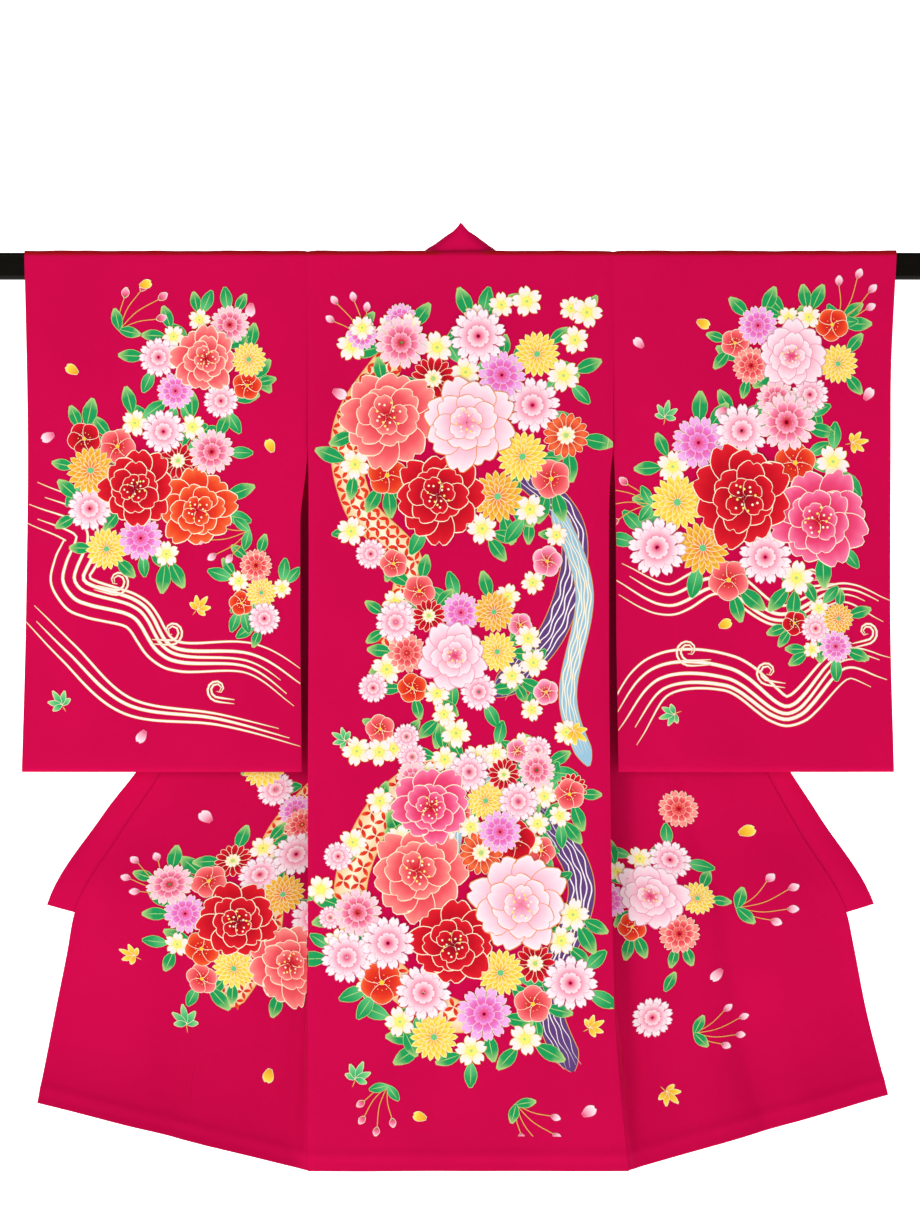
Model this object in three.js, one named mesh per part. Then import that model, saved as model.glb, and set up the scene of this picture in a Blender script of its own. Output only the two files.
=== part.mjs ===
// A baby girl's ceremonial kimono, hung flat by a lacquered rail that runs through both sleeves.
// Millimetres, +Z up. The origin is the middle of the rail. The back of the garment faces -Y,
// and the fronts hang behind the rail and swing outward below, so that their outer face turns to -Y too.
import * as THREE from "three";

// Rail
const RAIL_LENGTH = 1170;
const RAIL_DEPTH = 22;
const RAIL_HEIGHT = 31;
const RAIL_CORNER = 4;

// Cloth
const CLOTH = 1.5; // silk, padding and lining together
const COLLAR_CLOTH = 2.2; // the band is folded double
const COLLAR_CLEAR = 0.7; // more than the seam gap, for the band is the thicker
const SEAM_GAP = 0.3;
const ON_RAIL = 0.5; // air between the rail and the cloth over it
const FOLD_ROUND = 5; // of the shoulder fold, at the middle of the cloth

// Garment
const HEM_Z = -1037.5;
const SLEEVE_BOTTOM_Z = -580;
const NECK_HALF = 43; // half the neck opening
const NECK_BACK = 8.6; // from the shoulder line forward to the back neck edge
const NECK_CORNER = 10; // over which the back neck edge runs up to the shoulder line
const NECK_CROWDING = 0.12; // of the first rows, which crowd together below the back neck edge
const ARMHOLE_Z = -205; // the sleeve is sewn to the body down to here
const SIDE_SEAM_Z = -300; // the body's side seam starts here
const FRONT_WIDTH = 145; // of the front, from side seam to okumi seam
const OKUMI_TOP = 142; // distance of the okumi's tip below the shoulder line
const COLLAR_END = 820; // where the collar stops, as a distance below the shoulder line
const HEM_ROLL = 18; // the padded roll lies this far above the hem
const HEM_ROLL_SWELL = 1.3;

const COLOURS = { silk: 0xcc0a4e, lacquer: 0x14110c };

// Where the cloth crosses the top of the rail, as the middle of its wall
const OVER_Y = RAIL_DEPTH / 2 + ON_RAIL + CLOTH / 2;
const OVER_Z = RAIL_HEIGHT / 2 + ON_RAIL + CLOTH / 2;
const FOLD_FLAT = OVER_Y - FOLD_ROUND;
const FOLD_ARC = (FOLD_ROUND * Math.PI) / 2;
const DROP_AT_ZERO = FOLD_FLAT + FOLD_ARC + OVER_Z - FOLD_ROUND; // distance below the shoulder line at z = 0
const HEM_DROP = DROP_AT_ZERO - HEM_Z;

const clamp = THREE.MathUtils.clamp;
const lerp = THREE.MathUtils.lerp;
const ease = (t) => THREE.MathUtils.smoothstep(t, 0, 1);
const bump = (t) => (Math.abs(t) < 1 ? 0.5 + 0.5 * Math.cos(Math.PI * t) : 0);
const range = (count) => Array.from({ length: count + 1 }, (_, i) => i / count);

// The value of one column of a table at a place along its first column, smooth from row to row,
// and never past the values of the rows on either side
function read(table, column, place) {
  const places = table.rows.map((row) => row[0]);
  const values = table.rows.map((row) => row[table.columns.indexOf(column)]);
  const last = places.length - 1;
  const sign = places[last] > places[0] ? 1 : -1;
  if ((place - places[0]) * sign <= 0) return values[0];
  if ((place - places[last]) * sign >= 0) return values[last];
  const i = places.findIndex((p) => (p - place) * sign > 0) - 1;
  const rate = (k) => (values[k + 1] - values[k]) / (places[k + 1] - places[k]);
  const slope = (k) => {
    if (k === 0 || k === last) return rate(Math.min(k, last - 1));
    const [before, after] = [rate(k - 1), rate(k)];
    return before * after > 0 ? (2 * before * after) / (before + after) : 0;
  };
  const span = places[i + 1] - places[i];
  const t = (place - places[i]) / span;
  return (
    values[i] * (1 + 2 * t) * (1 - t) ** 2 +
    slope(i) * span * t * (1 - t) ** 2 +
    values[i + 1] * t * t * (3 - 2 * t) +
    slope(i + 1) * span * t * t * (t - 1)
  );
}

// Outlines. Heights are z, places are distances from the middle plane.
const LEFT = {
  sign: -1,
  // Where the body ends at the side, and the slit between it and the sleeve
  side: {
    columns: ["z", "body", "slit"],
    rows: [
      [20, 175.6, SEAM_GAP],
      [ARMHOLE_Z, 175.6, SEAM_GAP],
      [-235, 175.0, 3.0],
      [-295, 174.6, 9.8],
      [-420, 174.8, 9.6],
      [-586, 175.6, 7.4],
      [HEM_Z, 175.6, 7.4],
    ],
  },
  cuff: {
    columns: ["z", "x"],
    rows: [
      [20, 500.5],
      [-211, 496.5],
      [-400, 499.0],
      [SLEEVE_BOTTOM_Z, 504.0],
    ],
  },
  // The line of the collar seam, and below the collar's end the front edge of the okumi
  edge: {
    columns: ["z", "x"],
    rows: [
      [17, 43.2],
      [0, 45],
      [-20, 52],
      [-60, 73],
      [-100, 95],
      [-200, 148],
      [-400, 253],
      [-583, 346],
      [-648, 389],
      [-742, 444],
      [-790, 453],
      [-856, 466],
      [-960, 485.6],
    ],
  },
  hemWidth: 312,
  hemRise: 0.25,
};

const RIGHT = {
  sign: 1,
  side: {
    columns: ["z", "body", "slit"],
    rows: [
      [20, 174.5, SEAM_GAP],
      [ARMHOLE_Z, 174.5, SEAM_GAP],
      [-235, 171.5, 4.9],
      [-295, 169.6, 8.0],
      [-420, 169.6, 8.8],
      [-586, 171.0, 10.0],
      [-842, 175.6, 10.0],
      [-950, 183.0, 10.0],
      [HEM_Z, 192.5, 10.0],
    ],
  },
  cuff: {
    columns: ["z", "x"],
    rows: [
      [20, 499.4],
      [-153, 492.5],
      [-383, 492.5],
      [SLEEVE_BOTTOM_Z, 497.0],
    ],
  },
  edge: {
    columns: ["z", "x"],
    rows: [
      [17, 43.2],
      [0, 45],
      [-20, 52],
      [-60, 73],
      [-100, 95],
      [-200, 149],
      [-400, 256],
      [-585, 353],
      [-648, 388],
      [-742, 443],
      [-777, 450.6],
      [-856, 466],
      [-951, 490],
    ],
  },
  hemWidth: 302,
  hemRise: 0.29,
};

// How a front hangs, at each distance below the shoulder line. Width runs from the side seam to the
// collar seam or front edge. The cloth leaves the side seam at an angle, 180 degrees being straight
// inward and 0 straight outward, and turns to 0 over the length called turn, through the back.
// Rise is how much it climbs for each millimetre outward.
const HANG = {
  columns: ["drop", "width", "turn", "angle", "rise"],
  rows: [
    [0, 130.9, 50, 180, 0],
    [15, 131.2, 50, 180, 0],
    [30, 135, 50, 180, 0],
    [47, 139, 52, 180, 0],
    [87, 143, 52, 180, 0],
    [127, 145, 48, 180, 0],
    [187, 157, 40, 180, 0],
    [245, 173, 36, 178, 0],
    [327, 192, 34, 168, 0.01],
    [427, 216, 34, 165, 0.03],
    [527, 239, 34, 160, 0.06],
    [613, 255, 36, 152, 0.1],
    [690, 273, 36, 140, 0.14],
    [765, 287, 34, 124, 0.17],
    [827, 300, 32, 106, 0.19],
    [909, 304, 32, 86, 0.22],
    [987, 306, 34, 70, 0.24],
    [HEM_DROP, 312, 36, 55, 0.25],
  ],
};

// Soft folds: the place across, half its width, its depth toward -Y, and the heights it fades between
const FOLDS = {
  columns: ["x", "half", "depth", "top", "bottom"],
  rows: [
    [-112, 46, 2.6, -120, -1037],
    [-38, 40, -2.4, -380, -1037],
    [24, 44, 2.2, -90, -900],
    [88, 42, -2.2, -520, -1037],
    [128, 34, 2.4, -300, -1037],
    [-432, 44, 3.0, -60, -560],
    [-352, 48, -2.4, -120, -580],
    [-262, 52, 2.6, -70, -540],
    [-206, 26, -1.8, -250, -580],
    [206, 26, -2.0, -230, -580],
    [268, 48, 2.4, -80, -560],
    [344, 50, -2.6, -140, -580],
    [420, 46, 3.0, -70, -580],
    [474, 30, -2.0, -200, -580],
  ],
};

// Waves of the skirt beyond the side seams, the sharpest at the okumi seam: distance along the cloth,
// half width, and depth toward -Y where they are full
const SKIRT_WAVES = {
  columns: ["along", "half", "depth"],
  rows: [
    [116, 32, 4],
    [162, 26, -5],
    [214, 40, 4],
    [274, 40, -3],
  ],
};
const SKIRT_WAVES_FROM = 590;
const SKIRT_WAVES_FULL = 820;
const HEM_SPREAD_FROM = 850; // from here down each side takes on its own hem
const FOLD_FADE = 90; // over which a soft fold comes and goes

function softFold(x, z) {
  let y = 0;
  for (const [place, half, depth, top, bottom] of FOLDS.rows) {
    const fade = ease((top - z) / FOLD_FADE) * ease((z - bottom + FOLD_FADE) / FOLD_FADE);
    y -= depth * bump((x - place) / (2 * half)) * fade;
  }
  return y;
}

// The way down one side of the rail: how far behind (or before) the middle, the height, and the way out
function overRail(drop) {
  if (drop <= FOLD_FLAT) return { y: drop, z: OVER_Z, outY: 0, outZ: 1 };
  const turned = (drop - FOLD_FLAT) / FOLD_ROUND;
  if (turned < Math.PI / 2) {
    const outY = Math.sin(turned);
    const outZ = Math.cos(turned);
    return { y: FOLD_FLAT + FOLD_ROUND * outY, z: OVER_Z - FOLD_ROUND + FOLD_ROUND * outZ, outY, outZ };
  }
  return { y: OVER_Y, z: DROP_AT_ZERO - drop, outY: 1, outZ: 0 };
}

// A closed wall around a middle surface, whose points are given row by row.
// ring joins the last column to the first, so the wall becomes a tube open at both ends.
function wall(name, points, thickness, { ring = false, colour = COLOURS.silk } = {}) {
  const rows = points.length;
  const cols = points[0].length;
  const wrap = (j) => (ring ? (j + cols) % cols : clamp(j, 0, cols - 1));
  const place = [];
  for (const face of [0.5, -0.5]) {
    for (let i = 0; i < rows; i++) {
      for (let j = 0; j < cols; j++) {
        const along = points[Math.min(i + 1, rows - 1)][j].clone().sub(points[Math.max(i - 1, 0)][j]);
        const across = points[i][wrap(j + 1)].clone().sub(points[i][wrap(j - 1)]);
        const out = along.cross(across).normalize();
        const thick = typeof thickness === "number" ? thickness : thickness(i, j);
        place.push(...points[i][j].clone().addScaledVector(out, face * thick).toArray());
      }
    }
  }
  const at = (face, i, j) => face * rows * cols + i * cols + wrap(j);
  const index = [];
  const quad = (a, b, c, d) => index.push(a, b, c, a, c, d);
  const lastColumn = ring ? cols : cols - 1;
  for (let i = 0; i + 1 < rows; i++) {
    for (let j = 0; j < lastColumn; j++) {
      quad(at(0, i, j), at(0, i + 1, j), at(0, i + 1, j + 1), at(0, i, j + 1));
      quad(at(1, i, j), at(1, i, j + 1), at(1, i + 1, j + 1), at(1, i + 1, j));
    }
  }
  for (let j = 0; j < lastColumn; j++) {
    quad(at(0, 0, j), at(0, 0, j + 1), at(1, 0, j + 1), at(1, 0, j));
    quad(at(0, rows - 1, j + 1), at(0, rows - 1, j), at(1, rows - 1, j), at(1, rows - 1, j + 1));
  }
  if (!ring) {
    for (let i = 0; i + 1 < rows; i++) {
      quad(at(0, i + 1, 0), at(0, i, 0), at(1, i, 0), at(1, i + 1, 0));
      quad(at(0, i, cols - 1), at(0, i + 1, cols - 1), at(1, i + 1, cols - 1), at(1, i, cols - 1));
    }
  }
  return clothMesh(name, place, index, colour);
}

function clothMesh(name, place, index, colour) {
  const geometry = new THREE.BufferGeometry();
  geometry.setAttribute("position", new THREE.Float32BufferAttribute(place, 3));
  geometry.setIndex(index);
  geometry.computeVertexNormals();
  const material = new THREE.MeshStandardMaterial({ color: colour, roughness: 0.62, metalness: 0 });
  const mesh = new THREE.Mesh(geometry, material);
  mesh.name = name;
  return mesh;
}

// The hem's padded roll thickens the wall a little way above its edge
function hemThickness(aboveHem) {
  return CLOTH + HEM_ROLL_SWELL * bump((aboveHem - HEM_ROLL) / (0.8 * HEM_ROLL));
}

// Rows, as distances below the shoulder line
const ROUND_FOLD = [1 / 3, 2 / 3, 1].map((share) => FOLD_FLAT + share * FOLD_ARC);
const BACK_DROPS = [0, 4, FOLD_FLAT, ...ROUND_FOLD, 26, 44, 70, 105, 150, 200, 250, 300, 355];
const LOWER_DROPS = [415, 475, 535, 595, 640, 690, 740, 790, 840, 890, 940, 985, 1020];
const HEM_DROPS = [HEM_DROP - 26, HEM_DROP - HEM_ROLL, HEM_DROP - 9, HEM_DROP];

// Columns of the back as shares of its half width, with two close together at the side of the neck
const BACK_SHARES = [0, 0.11, 0.21, 0.268, 0.42, 0.57, 0.72, 0.86, 1];

// Back of the body: from the shoulder line forward over the rail and down to the hem
function makeBack() {
  const drops = [...BACK_DROPS, ...LOWER_DROPS, ...HEM_DROPS];
  const shares = [...BACK_SHARES.slice(1).reverse().map((share) => -share), ...BACK_SHARES];
  const points = drops.map((drop) =>
    shares.map((share) => {
      const z = overRail(drop).z;
      const x = share * read(share < 0 ? LEFT.side : RIGHT.side, "body", z);
      const neck = NECK_BACK * ease((NECK_HALF - Math.abs(x)) / NECK_CORNER + 0.4);
      const from = overRail(Math.max(drop, neck + NECK_CROWDING * drop));
      const clear = ease((-z - 30) / 120);
      return new THREE.Vector3(x, -from.y + softFold(x, z) * clear, from.z);
    }),
  );
  return wall("back_body", points, (i) => hemThickness(HEM_DROP - drops[i]));
}

const CLIMB_SOFT = 8; // eases a row from level into its climb
const STEPS = 60; // of the walk along a row
const HALVINGS = 30;
const CORNER_CLEAR = 0.6; // keeps a front's corner off the back's edge as it turns behind it

// One row of a front: the curve that the cloth follows from the side seam to its front edge
function frontRow(side, drop) {
  const top = overRail(drop);
  const low = ease((drop - HEM_SPREAD_FROM) / (HEM_DROP - HEM_SPREAD_FROM));
  const rise = lerp(read(HANG, "rise", drop), side.hemRise, low);
  const width = lerp(read(HANG, "width", drop), side.hemWidth, low);
  const turn = read(HANG, "turn", drop);
  const angle = THREE.MathUtils.degToRad(read(HANG, "angle", drop));
  const sideX = read(side.side, "body", top.z);
  let leg = 0;
  const heading = (s) => angle * (1 - ease((s - leg) / turn));
  const walk = (length) => {
    let out = 0;
    let back = 0;
    for (let k = 0; k < STEPS; k++) {
      const h = heading(((k + 0.5) * length) / STEPS);
      out += (Math.cos(h) * length) / STEPS;
      back += (Math.sin(h) * length) / STEPS;
    }
    return { out, back };
  };
  const climb = (out) => rise * 0.5 * (out + Math.hypot(out, CLIMB_SOFT));
  // The first leg is as long as brings the front edge onto its line
  let shortest = -turn;
  let longest = width;
  for (let k = 0; k < HALVINGS; k++) {
    leg = (shortest + longest) / 2;
    const { out } = walk(width);
    const want = read(side.edge, "x", top.z + climb(out)) - sideX;
    if (out > want) shortest = leg;
    else longest = leg;
  }
  const start = heading(0);
  // Clear of the back's edge: beside it where the cloth starts outward, behind it where it starts inward
  const inward = start > Math.PI / 2;
  const thick = hemThickness(HEM_DROP - drop);
  const beside = (inward ? SEAM_GAP * Math.sin(start) : SEAM_GAP) + (thick / 2) * Math.sin(start);
  const behind = inward ? (SEAM_GAP + thick) * -Math.cos(start) : 0;
  const joined = ease((ARMHOLE_Z - top.z) / (ARMHOLE_Z - SIDE_SEAM_Z));
  const seamY = -OVER_Y + softFold(side.sign * sideX, top.z) + behind + CORNER_CLEAR * Math.sin(start);
  const startY = lerp(top.y, seamY, joined);
  return {
    width,
    leg,
    turn,
    at(s) {
      const { out, back } = walk(s);
      const h = heading(s);
      const wave = skirtWave(s, drop);
      const x = sideX + beside * joined + out - Math.sin(h) * wave;
      const deep = back + Math.cos(h) * wave;
      const y = startY + top.outY * deep;
      return new THREE.Vector3(side.sign * x, y, top.z + top.outZ * deep + climb(out));
    },
  };
}

function skirtWave(s, drop) {
  const grown = ease((drop - SKIRT_WAVES_FROM) / (SKIRT_WAVES_FULL - SKIRT_WAVES_FROM));
  let wave = 0;
  for (const [along, half, depth] of SKIRT_WAVES.rows) {
    wave -= depth * bump((s - along) / (2 * half)) * grown;
  }
  return wave;
}

// The collar seam runs along the front's own edge above the okumi's tip, and along the okumi below it
const frontEnd = (row) => Math.min(FRONT_WIDTH, row.width);
const collarSeam = (row, drop) => (drop < OKUMI_TOP ? frontEnd(row) : row.width);

const FRONT_DROPS = [SEAM_GAP, 4, FOLD_FLAT, ...ROUND_FOLD, 26, 44, 65, 90, 115];
const FRONT_LOWER = [OKUMI_TOP, 170, 200, 230, 258, 290, 327, 375, 427, 480, 530, 580, 625, 670, 720, 770];
const SKIRT_DROPS = [COLLAR_END, 870, 915, 960, 1000, ...HEM_DROPS];

// Columns crowd into the turn of the tuck, and no stretch before or after it gets less than this share
const LEAST_SHARE = 0.12;

function makeFront(side, name) {
  const drops = [...FRONT_DROPS, ...FRONT_LOWER, ...SKIRT_DROPS];
  const points = drops.map((drop) => {
    const row = frontRow(side, drop);
    const end = frontEnd(row);
    const first = clamp(row.leg, LEAST_SHARE * end, (1 - 2 * LEAST_SHARE) * end);
    const second = clamp(row.leg + row.turn, first + LEAST_SHARE * end, (1 - LEAST_SHARE / 2) * end);
    const stops = [
      ...range(3).map((t) => t * first),
      ...range(6).slice(1).map((t) => lerp(first, second, t)),
      ...range(2).slice(1).map((t) => lerp(second, end, t)),
    ];
    return stops.map((s) => row.at(s));
  });
  return wall(name, points, (i) => hemThickness(HEM_DROP - drops[i]));
}

function makeOkumi(side, name) {
  const columns = 5;
  const drops = [...FRONT_LOWER, ...SKIRT_DROPS];
  const points = drops.map((drop) => {
    const row = frontRow(side, drop);
    return range(columns).map((u) => row.at(lerp(FRONT_WIDTH + SEAM_GAP, row.width, u)));
  });
  return wall(name, points, (i) => hemThickness(HEM_DROP - drops[i]));
}

// Sleeve: a flat tube along X. Its ring goes up the -Y layer, over the rail and down the +Y layer.
const SLEEVE_BOTTOM_HALF = 3.2;
const SLEEVE_LAYER_DROPS = [30, 70, 130, 195, 232, 265, 320, 390, 460, 530, 580];
const SLEEVE_STATIONS = [0, 0.06, 0.16, 0.27, 0.38, 0.49, 0.6, 0.71, 0.82, 0.93, 1];

function sleeveRing() {
  const ring = [];
  const bottomDrop = DROP_AT_ZERO - SLEEVE_BOTTOM_Z - SLEEVE_BOTTOM_HALF;
  const over = [0, FOLD_FLAT, ...ROUND_FOLD];
  const layer = [...SLEEVE_LAYER_DROPS, bottomDrop];
  const spot = (drop, face) => {
    const { y, z } = overRail(drop);
    const narrow = ease((-z - RAIL_HEIGHT / 2) / (-SLEEVE_BOTTOM_Z - RAIL_HEIGHT / 2));
    return { y: face * lerp(y, SLEEVE_BOTTOM_HALF, narrow), z };
  };
  for (const drop of [...layer].reverse()) ring.push(spot(drop, -1));
  for (const drop of [...over].reverse()) ring.push(spot(drop, -1));
  for (const drop of over.slice(1)) ring.push(spot(drop, 1));
  for (const drop of layer) ring.push(spot(drop, 1));
  for (const turned of [45, 90, 135]) {
    const t = THREE.MathUtils.degToRad(turned);
    const z = SLEEVE_BOTTOM_Z + SLEEVE_BOTTOM_HALF;
    ring.push({ y: SLEEVE_BOTTOM_HALF * Math.cos(t), z: z - SLEEVE_BOTTOM_HALF * Math.sin(t) });
  }
  return ring;
}

function makeSleeve(side, name) {
  const points = SLEEVE_STATIONS.map((u) =>
    sleeveRing().map(({ y, z }) => {
      const inner = read(side.side, "body", z) + read(side.side, "slit", z);
      const x = side.sign * lerp(inner, read(side.cuff, "x", z), u);
      const clear = ease((-z - 30) / 120);
      return new THREE.Vector3(x, y + softFold(x, z) * clear, z);
    }),
  );
  return wall(name, points, CLOTH, { ring: true });
}

// Collar: the back of the neck is a small peak, given from its middle to one side of the neck.
// Base is the seam and edge the free fold of the band.
const NECK_ROWS = {
  columns: ["baseX", "baseY", "baseZ", "edgeX", "edgeY", "edgeZ"],
  rows: [
    [0, -9.2, 18.0, 0, -8.0, 51.0],
    [7, -9.2, 18.0, 3.5, -7.5, 46.0],
    [15, -9.2, 18.0, 8.5, -6.5, 40.5],
    [24, -9.0, 18.0, 15.0, -4.0, 34.0],
    [32, -8.0, 18.0, 21.5, 0.0, 28.8],
    [37.5, -6.0, 18.2, 26.0, 5.0, 25.6],
  ],
};
const COLLAR_WIDTHS = {
  columns: ["drop", "width", "lean"],
  rows: [
    [0, 17, 38],
    [15, 18, 40],
    [40, 20, 0],
    [200, 22, 0],
    [613, 24, 0],
    [700, 29, 0],
    [COLLAR_END, 33, 0],
  ],
};

function collarSide(side) {
  const rows = [];
  const drops = [...FRONT_DROPS, ...FRONT_LOWER, COLLAR_END];
  const seamPoint = (drop) => {
    const row = frontRow(side, drop);
    return row.at(collarSeam(row, drop) + SEAM_GAP);
  };
  for (const drop of drops) {
    const row = frontRow(side, drop);
    const seam = collarSeam(row, drop) + SEAM_GAP;
    const base = row.at(seam);
    const outward = row.at(seam + 1).sub(base).normalize();
    const down = seamPoint(drop + 4).sub(seamPoint(drop - 4)).normalize();
    const across = outward.addScaledVector(down, -outward.dot(down)).normalize();
    const lean = THREE.MathUtils.degToRad(read(COLLAR_WIDTHS, "lean", drop));
    across.applyAxisAngle(down, side.sign * lean);
    const edge = base.clone().addScaledVector(across, read(COLLAR_WIDTHS, "width", drop));
    rows.push([base.addScaledVector(across, COLLAR_CLEAR), edge]);
  }
  return rows;
}

function makeCollar() {
  const neck = (sign) =>
    NECK_ROWS.rows.map(([bx, by, bz, ex, ey, ez]) => [
      new THREE.Vector3(sign * bx, by, bz),
      new THREE.Vector3(sign * ex, ey, ez),
    ]);
  const rows = [
    ...collarSide(LEFT).reverse(),
    ...neck(-1).slice(1).reverse(),
    ...neck(1),
    ...collarSide(RIGHT),
  ];
  const points = rows.map(([base, edge]) => range(3).map((u) => base.clone().lerp(edge, u)));
  return wall("collar", points, COLLAR_CLOTH);
}

// Rail: a bar of rounded section, with plain flat ends
function makeRail() {
  const y = RAIL_DEPTH / 2;
  const z = RAIL_HEIGHT / 2;
  const r = RAIL_CORNER;
  const section = new THREE.Shape();
  section.moveTo(-z + r, -y);
  section.lineTo(z - r, -y);
  section.absarc(z - r, -y + r, r, -Math.PI / 2, 0);
  section.lineTo(z, y - r);
  section.absarc(z - r, y - r, r, 0, Math.PI / 2);
  section.lineTo(-z + r, y);
  section.absarc(-z + r, y - r, r, Math.PI / 2, Math.PI);
  section.lineTo(-z, -y + r);
  section.absarc(-z + r, -y + r, r, Math.PI, 1.5 * Math.PI);
  const geometry = new THREE.ExtrudeGeometry(section, { depth: RAIL_LENGTH, bevelEnabled: false, curveSegments: 5 });
  geometry.translate(0, 0, -RAIL_LENGTH / 2);
  geometry.rotateY(Math.PI / 2);
  const material = new THREE.MeshStandardMaterial({ color: COLOURS.lacquer, roughness: 0.25, metalness: 0 });
  const mesh = new THREE.Mesh(geometry, material);
  mesh.name = "rail";
  return mesh;
}

const kimono = new THREE.Group();
kimono.add(makeRail());
kimono.add(makeBack());
kimono.add(makeFront(LEFT, "front_body_left"));
kimono.add(makeFront(RIGHT, "front_body_right"));
kimono.add(makeOkumi(LEFT, "okumi_left"));
kimono.add(makeOkumi(RIGHT, "okumi_right"));
kimono.add(makeSleeve(LEFT, "sleeve_left"));
kimono.add(makeSleeve(RIGHT, "sleeve_right"));
kimono.add(makeCollar());

export default kimono;
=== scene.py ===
# %% [markdown]
# A baby girl's ceremonial kimono hangs flat on a black lacquered rail, seen from its back.
# The solids of the garment are already a frame of rigid walls. This script gives them their looks:
# thin silk shells on the same forms, the dyed flowers, and the lacquer of the rail.

# %% Load the frame
import math
import random

import bmesh
import bpy
import numpy as np
from mathutils import Matrix, Vector


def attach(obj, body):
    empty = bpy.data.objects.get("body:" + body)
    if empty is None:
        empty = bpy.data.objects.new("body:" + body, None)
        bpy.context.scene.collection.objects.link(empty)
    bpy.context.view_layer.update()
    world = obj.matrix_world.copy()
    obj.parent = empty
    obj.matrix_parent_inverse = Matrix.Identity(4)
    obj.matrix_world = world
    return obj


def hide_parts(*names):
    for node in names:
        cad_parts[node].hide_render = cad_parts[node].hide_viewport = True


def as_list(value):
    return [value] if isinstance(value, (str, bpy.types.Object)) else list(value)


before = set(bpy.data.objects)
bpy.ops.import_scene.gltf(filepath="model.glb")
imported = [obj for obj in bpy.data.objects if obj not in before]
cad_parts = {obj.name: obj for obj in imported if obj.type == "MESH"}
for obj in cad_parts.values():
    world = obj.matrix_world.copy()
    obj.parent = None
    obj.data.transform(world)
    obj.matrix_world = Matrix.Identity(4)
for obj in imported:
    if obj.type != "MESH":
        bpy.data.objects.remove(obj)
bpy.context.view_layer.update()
print("solids", sorted(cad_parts))

# %% [markdown]
# Every panel of a kimono is a straight strip of loom-width silk. How it hangs can be worked out from
# a few driving sizes, so the same sizes that shaped the solids are named here again, in millimetres.
# A short table holds what changes down the garment, one row for each height.

# %% Sizes of the garment
MM = 0.001
RAIL_LENGTH, RAIL_DEPTH, RAIL_HEIGHT, RAIL_CORNER = 1170, 22, 31, 4
CLOTH, SEAM_GAP, ON_RAIL, FOLD_ROUND = 1.5, 0.3, 0.5, 5
BACK_HALF, SLEEVE_WIDE = 175, 320
HEM_Z, SLEEVE_BOTTOM_Z, SLEEVE_BOTTOM_HALF = -1037.5, -580, 3.2
NECK_HALF, NECK_BACK, NECK_CORNER, NECK_CROWDING = 43, 8.6, 10, 0.12
ARMHOLE_Z, SIDE_SEAM_Z = -205, -300
FRONT_WIDTH, OKUMI_TOP, COLLAR_END = 145, 142, 820
HEM_ROLL, HEM_ROLL_SWELL = 18, 0.95
OVER_Y = RAIL_DEPTH / 2 + ON_RAIL + CLOTH / 2
OVER_Z = RAIL_HEIGHT / 2 + ON_RAIL + CLOTH / 2
FOLD_FLAT = OVER_Y - FOLD_ROUND
DROP_AT_ZERO = FOLD_FLAT + FOLD_ROUND * math.pi / 2 + OVER_Z - FOLD_ROUND
HEM_DROP = DROP_AT_ZERO - HEM_Z

SIDES = {
    "left": {
        "sign": -1, "hem_width": 312, "hem_rise": 0.25,
        "side": ("z body slit", [
            (20, 175.6, 0.3), (ARMHOLE_Z, 175.6, 0.3), (-235, 175.0, 3.0), (-295, 174.6, 9.8),
            (-420, 174.8, 9.6), (-586, 175.6, 7.4), (HEM_Z, 175.6, 7.4)]),
        "cuff": ("z x", [(20, 500.5), (-211, 496.5), (-400, 499.0), (SLEEVE_BOTTOM_Z, 504.0)]),
        "edge": ("z x", [
            (17, 43.2), (0, 45), (-20, 52), (-60, 73), (-100, 95), (-200, 148), (-400, 253),
            (-583, 346), (-648, 389), (-742, 444), (-790, 453), (-856, 466), (-960, 485.6)]),
    },
    "right": {
        "sign": 1, "hem_width": 302, "hem_rise": 0.29,
        "side": ("z body slit", [
            (20, 174.5, 0.3), (ARMHOLE_Z, 174.5, 0.3), (-235, 171.5, 4.9), (-295, 169.6, 8.0),
            (-420, 169.6, 8.8), (-586, 171.0, 10.0), (-842, 175.6, 10.0), (-950, 183.0, 10.0),
            (HEM_Z, 192.5, 10.0)]),
        "cuff": ("z x", [(20, 499.4), (-153, 492.5), (-383, 492.5), (SLEEVE_BOTTOM_Z, 497.0)]),
        "edge": ("z x", [
            (17, 43.2), (0, 45), (-20, 52), (-60, 73), (-100, 95), (-200, 149), (-400, 256),
            (-585, 353), (-648, 388), (-742, 443), (-777, 450.6), (-856, 466), (-951, 490)]),
    },
}
HANG = ("drop width turn angle rise", [
    (0, 130.9, 50, 180, 0), (15, 131.2, 50, 180, 0), (30, 135, 50, 180, 0), (47, 139, 52, 180, 0),
    (87, 143, 52, 180, 0), (127, 145, 48, 180, 0), (187, 157, 40, 180, 0), (245, 173, 36, 178, 0),
    (327, 192, 34, 168, 0.01), (427, 216, 34, 165, 0.03), (527, 239, 34, 160, 0.06),
    (613, 255, 36, 152, 0.1), (690, 273, 36, 140, 0.14), (765, 287, 34, 124, 0.17),
    (827, 300, 32, 106, 0.19), (909, 304, 32, 86, 0.22), (987, 306, 34, 70, 0.24),
    (HEM_DROP, 312, 36, 55, 0.25)])
FOLDS = [  # across, half width, depth toward the viewer, top, bottom
    (-112, 46, 2.6, -120, -1037), (-38, 40, -2.4, -380, -1037), (24, 44, 2.2, -90, -900),
    (88, 42, -2.2, -520, -1037), (128, 34, 2.4, -300, -1037), (-432, 44, 3.0, -60, -560),
    (-352, 48, -2.4, -120, -580), (-262, 52, 2.6, -70, -540), (-206, 26, -1.8, -250, -580),
    (206, 26, -2.0, -230, -580), (268, 48, 2.4, -80, -560), (344, 50, -2.6, -140, -580),
    (420, 46, 3.0, -70, -580), (474, 30, -2.0, -200, -580)]
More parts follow.
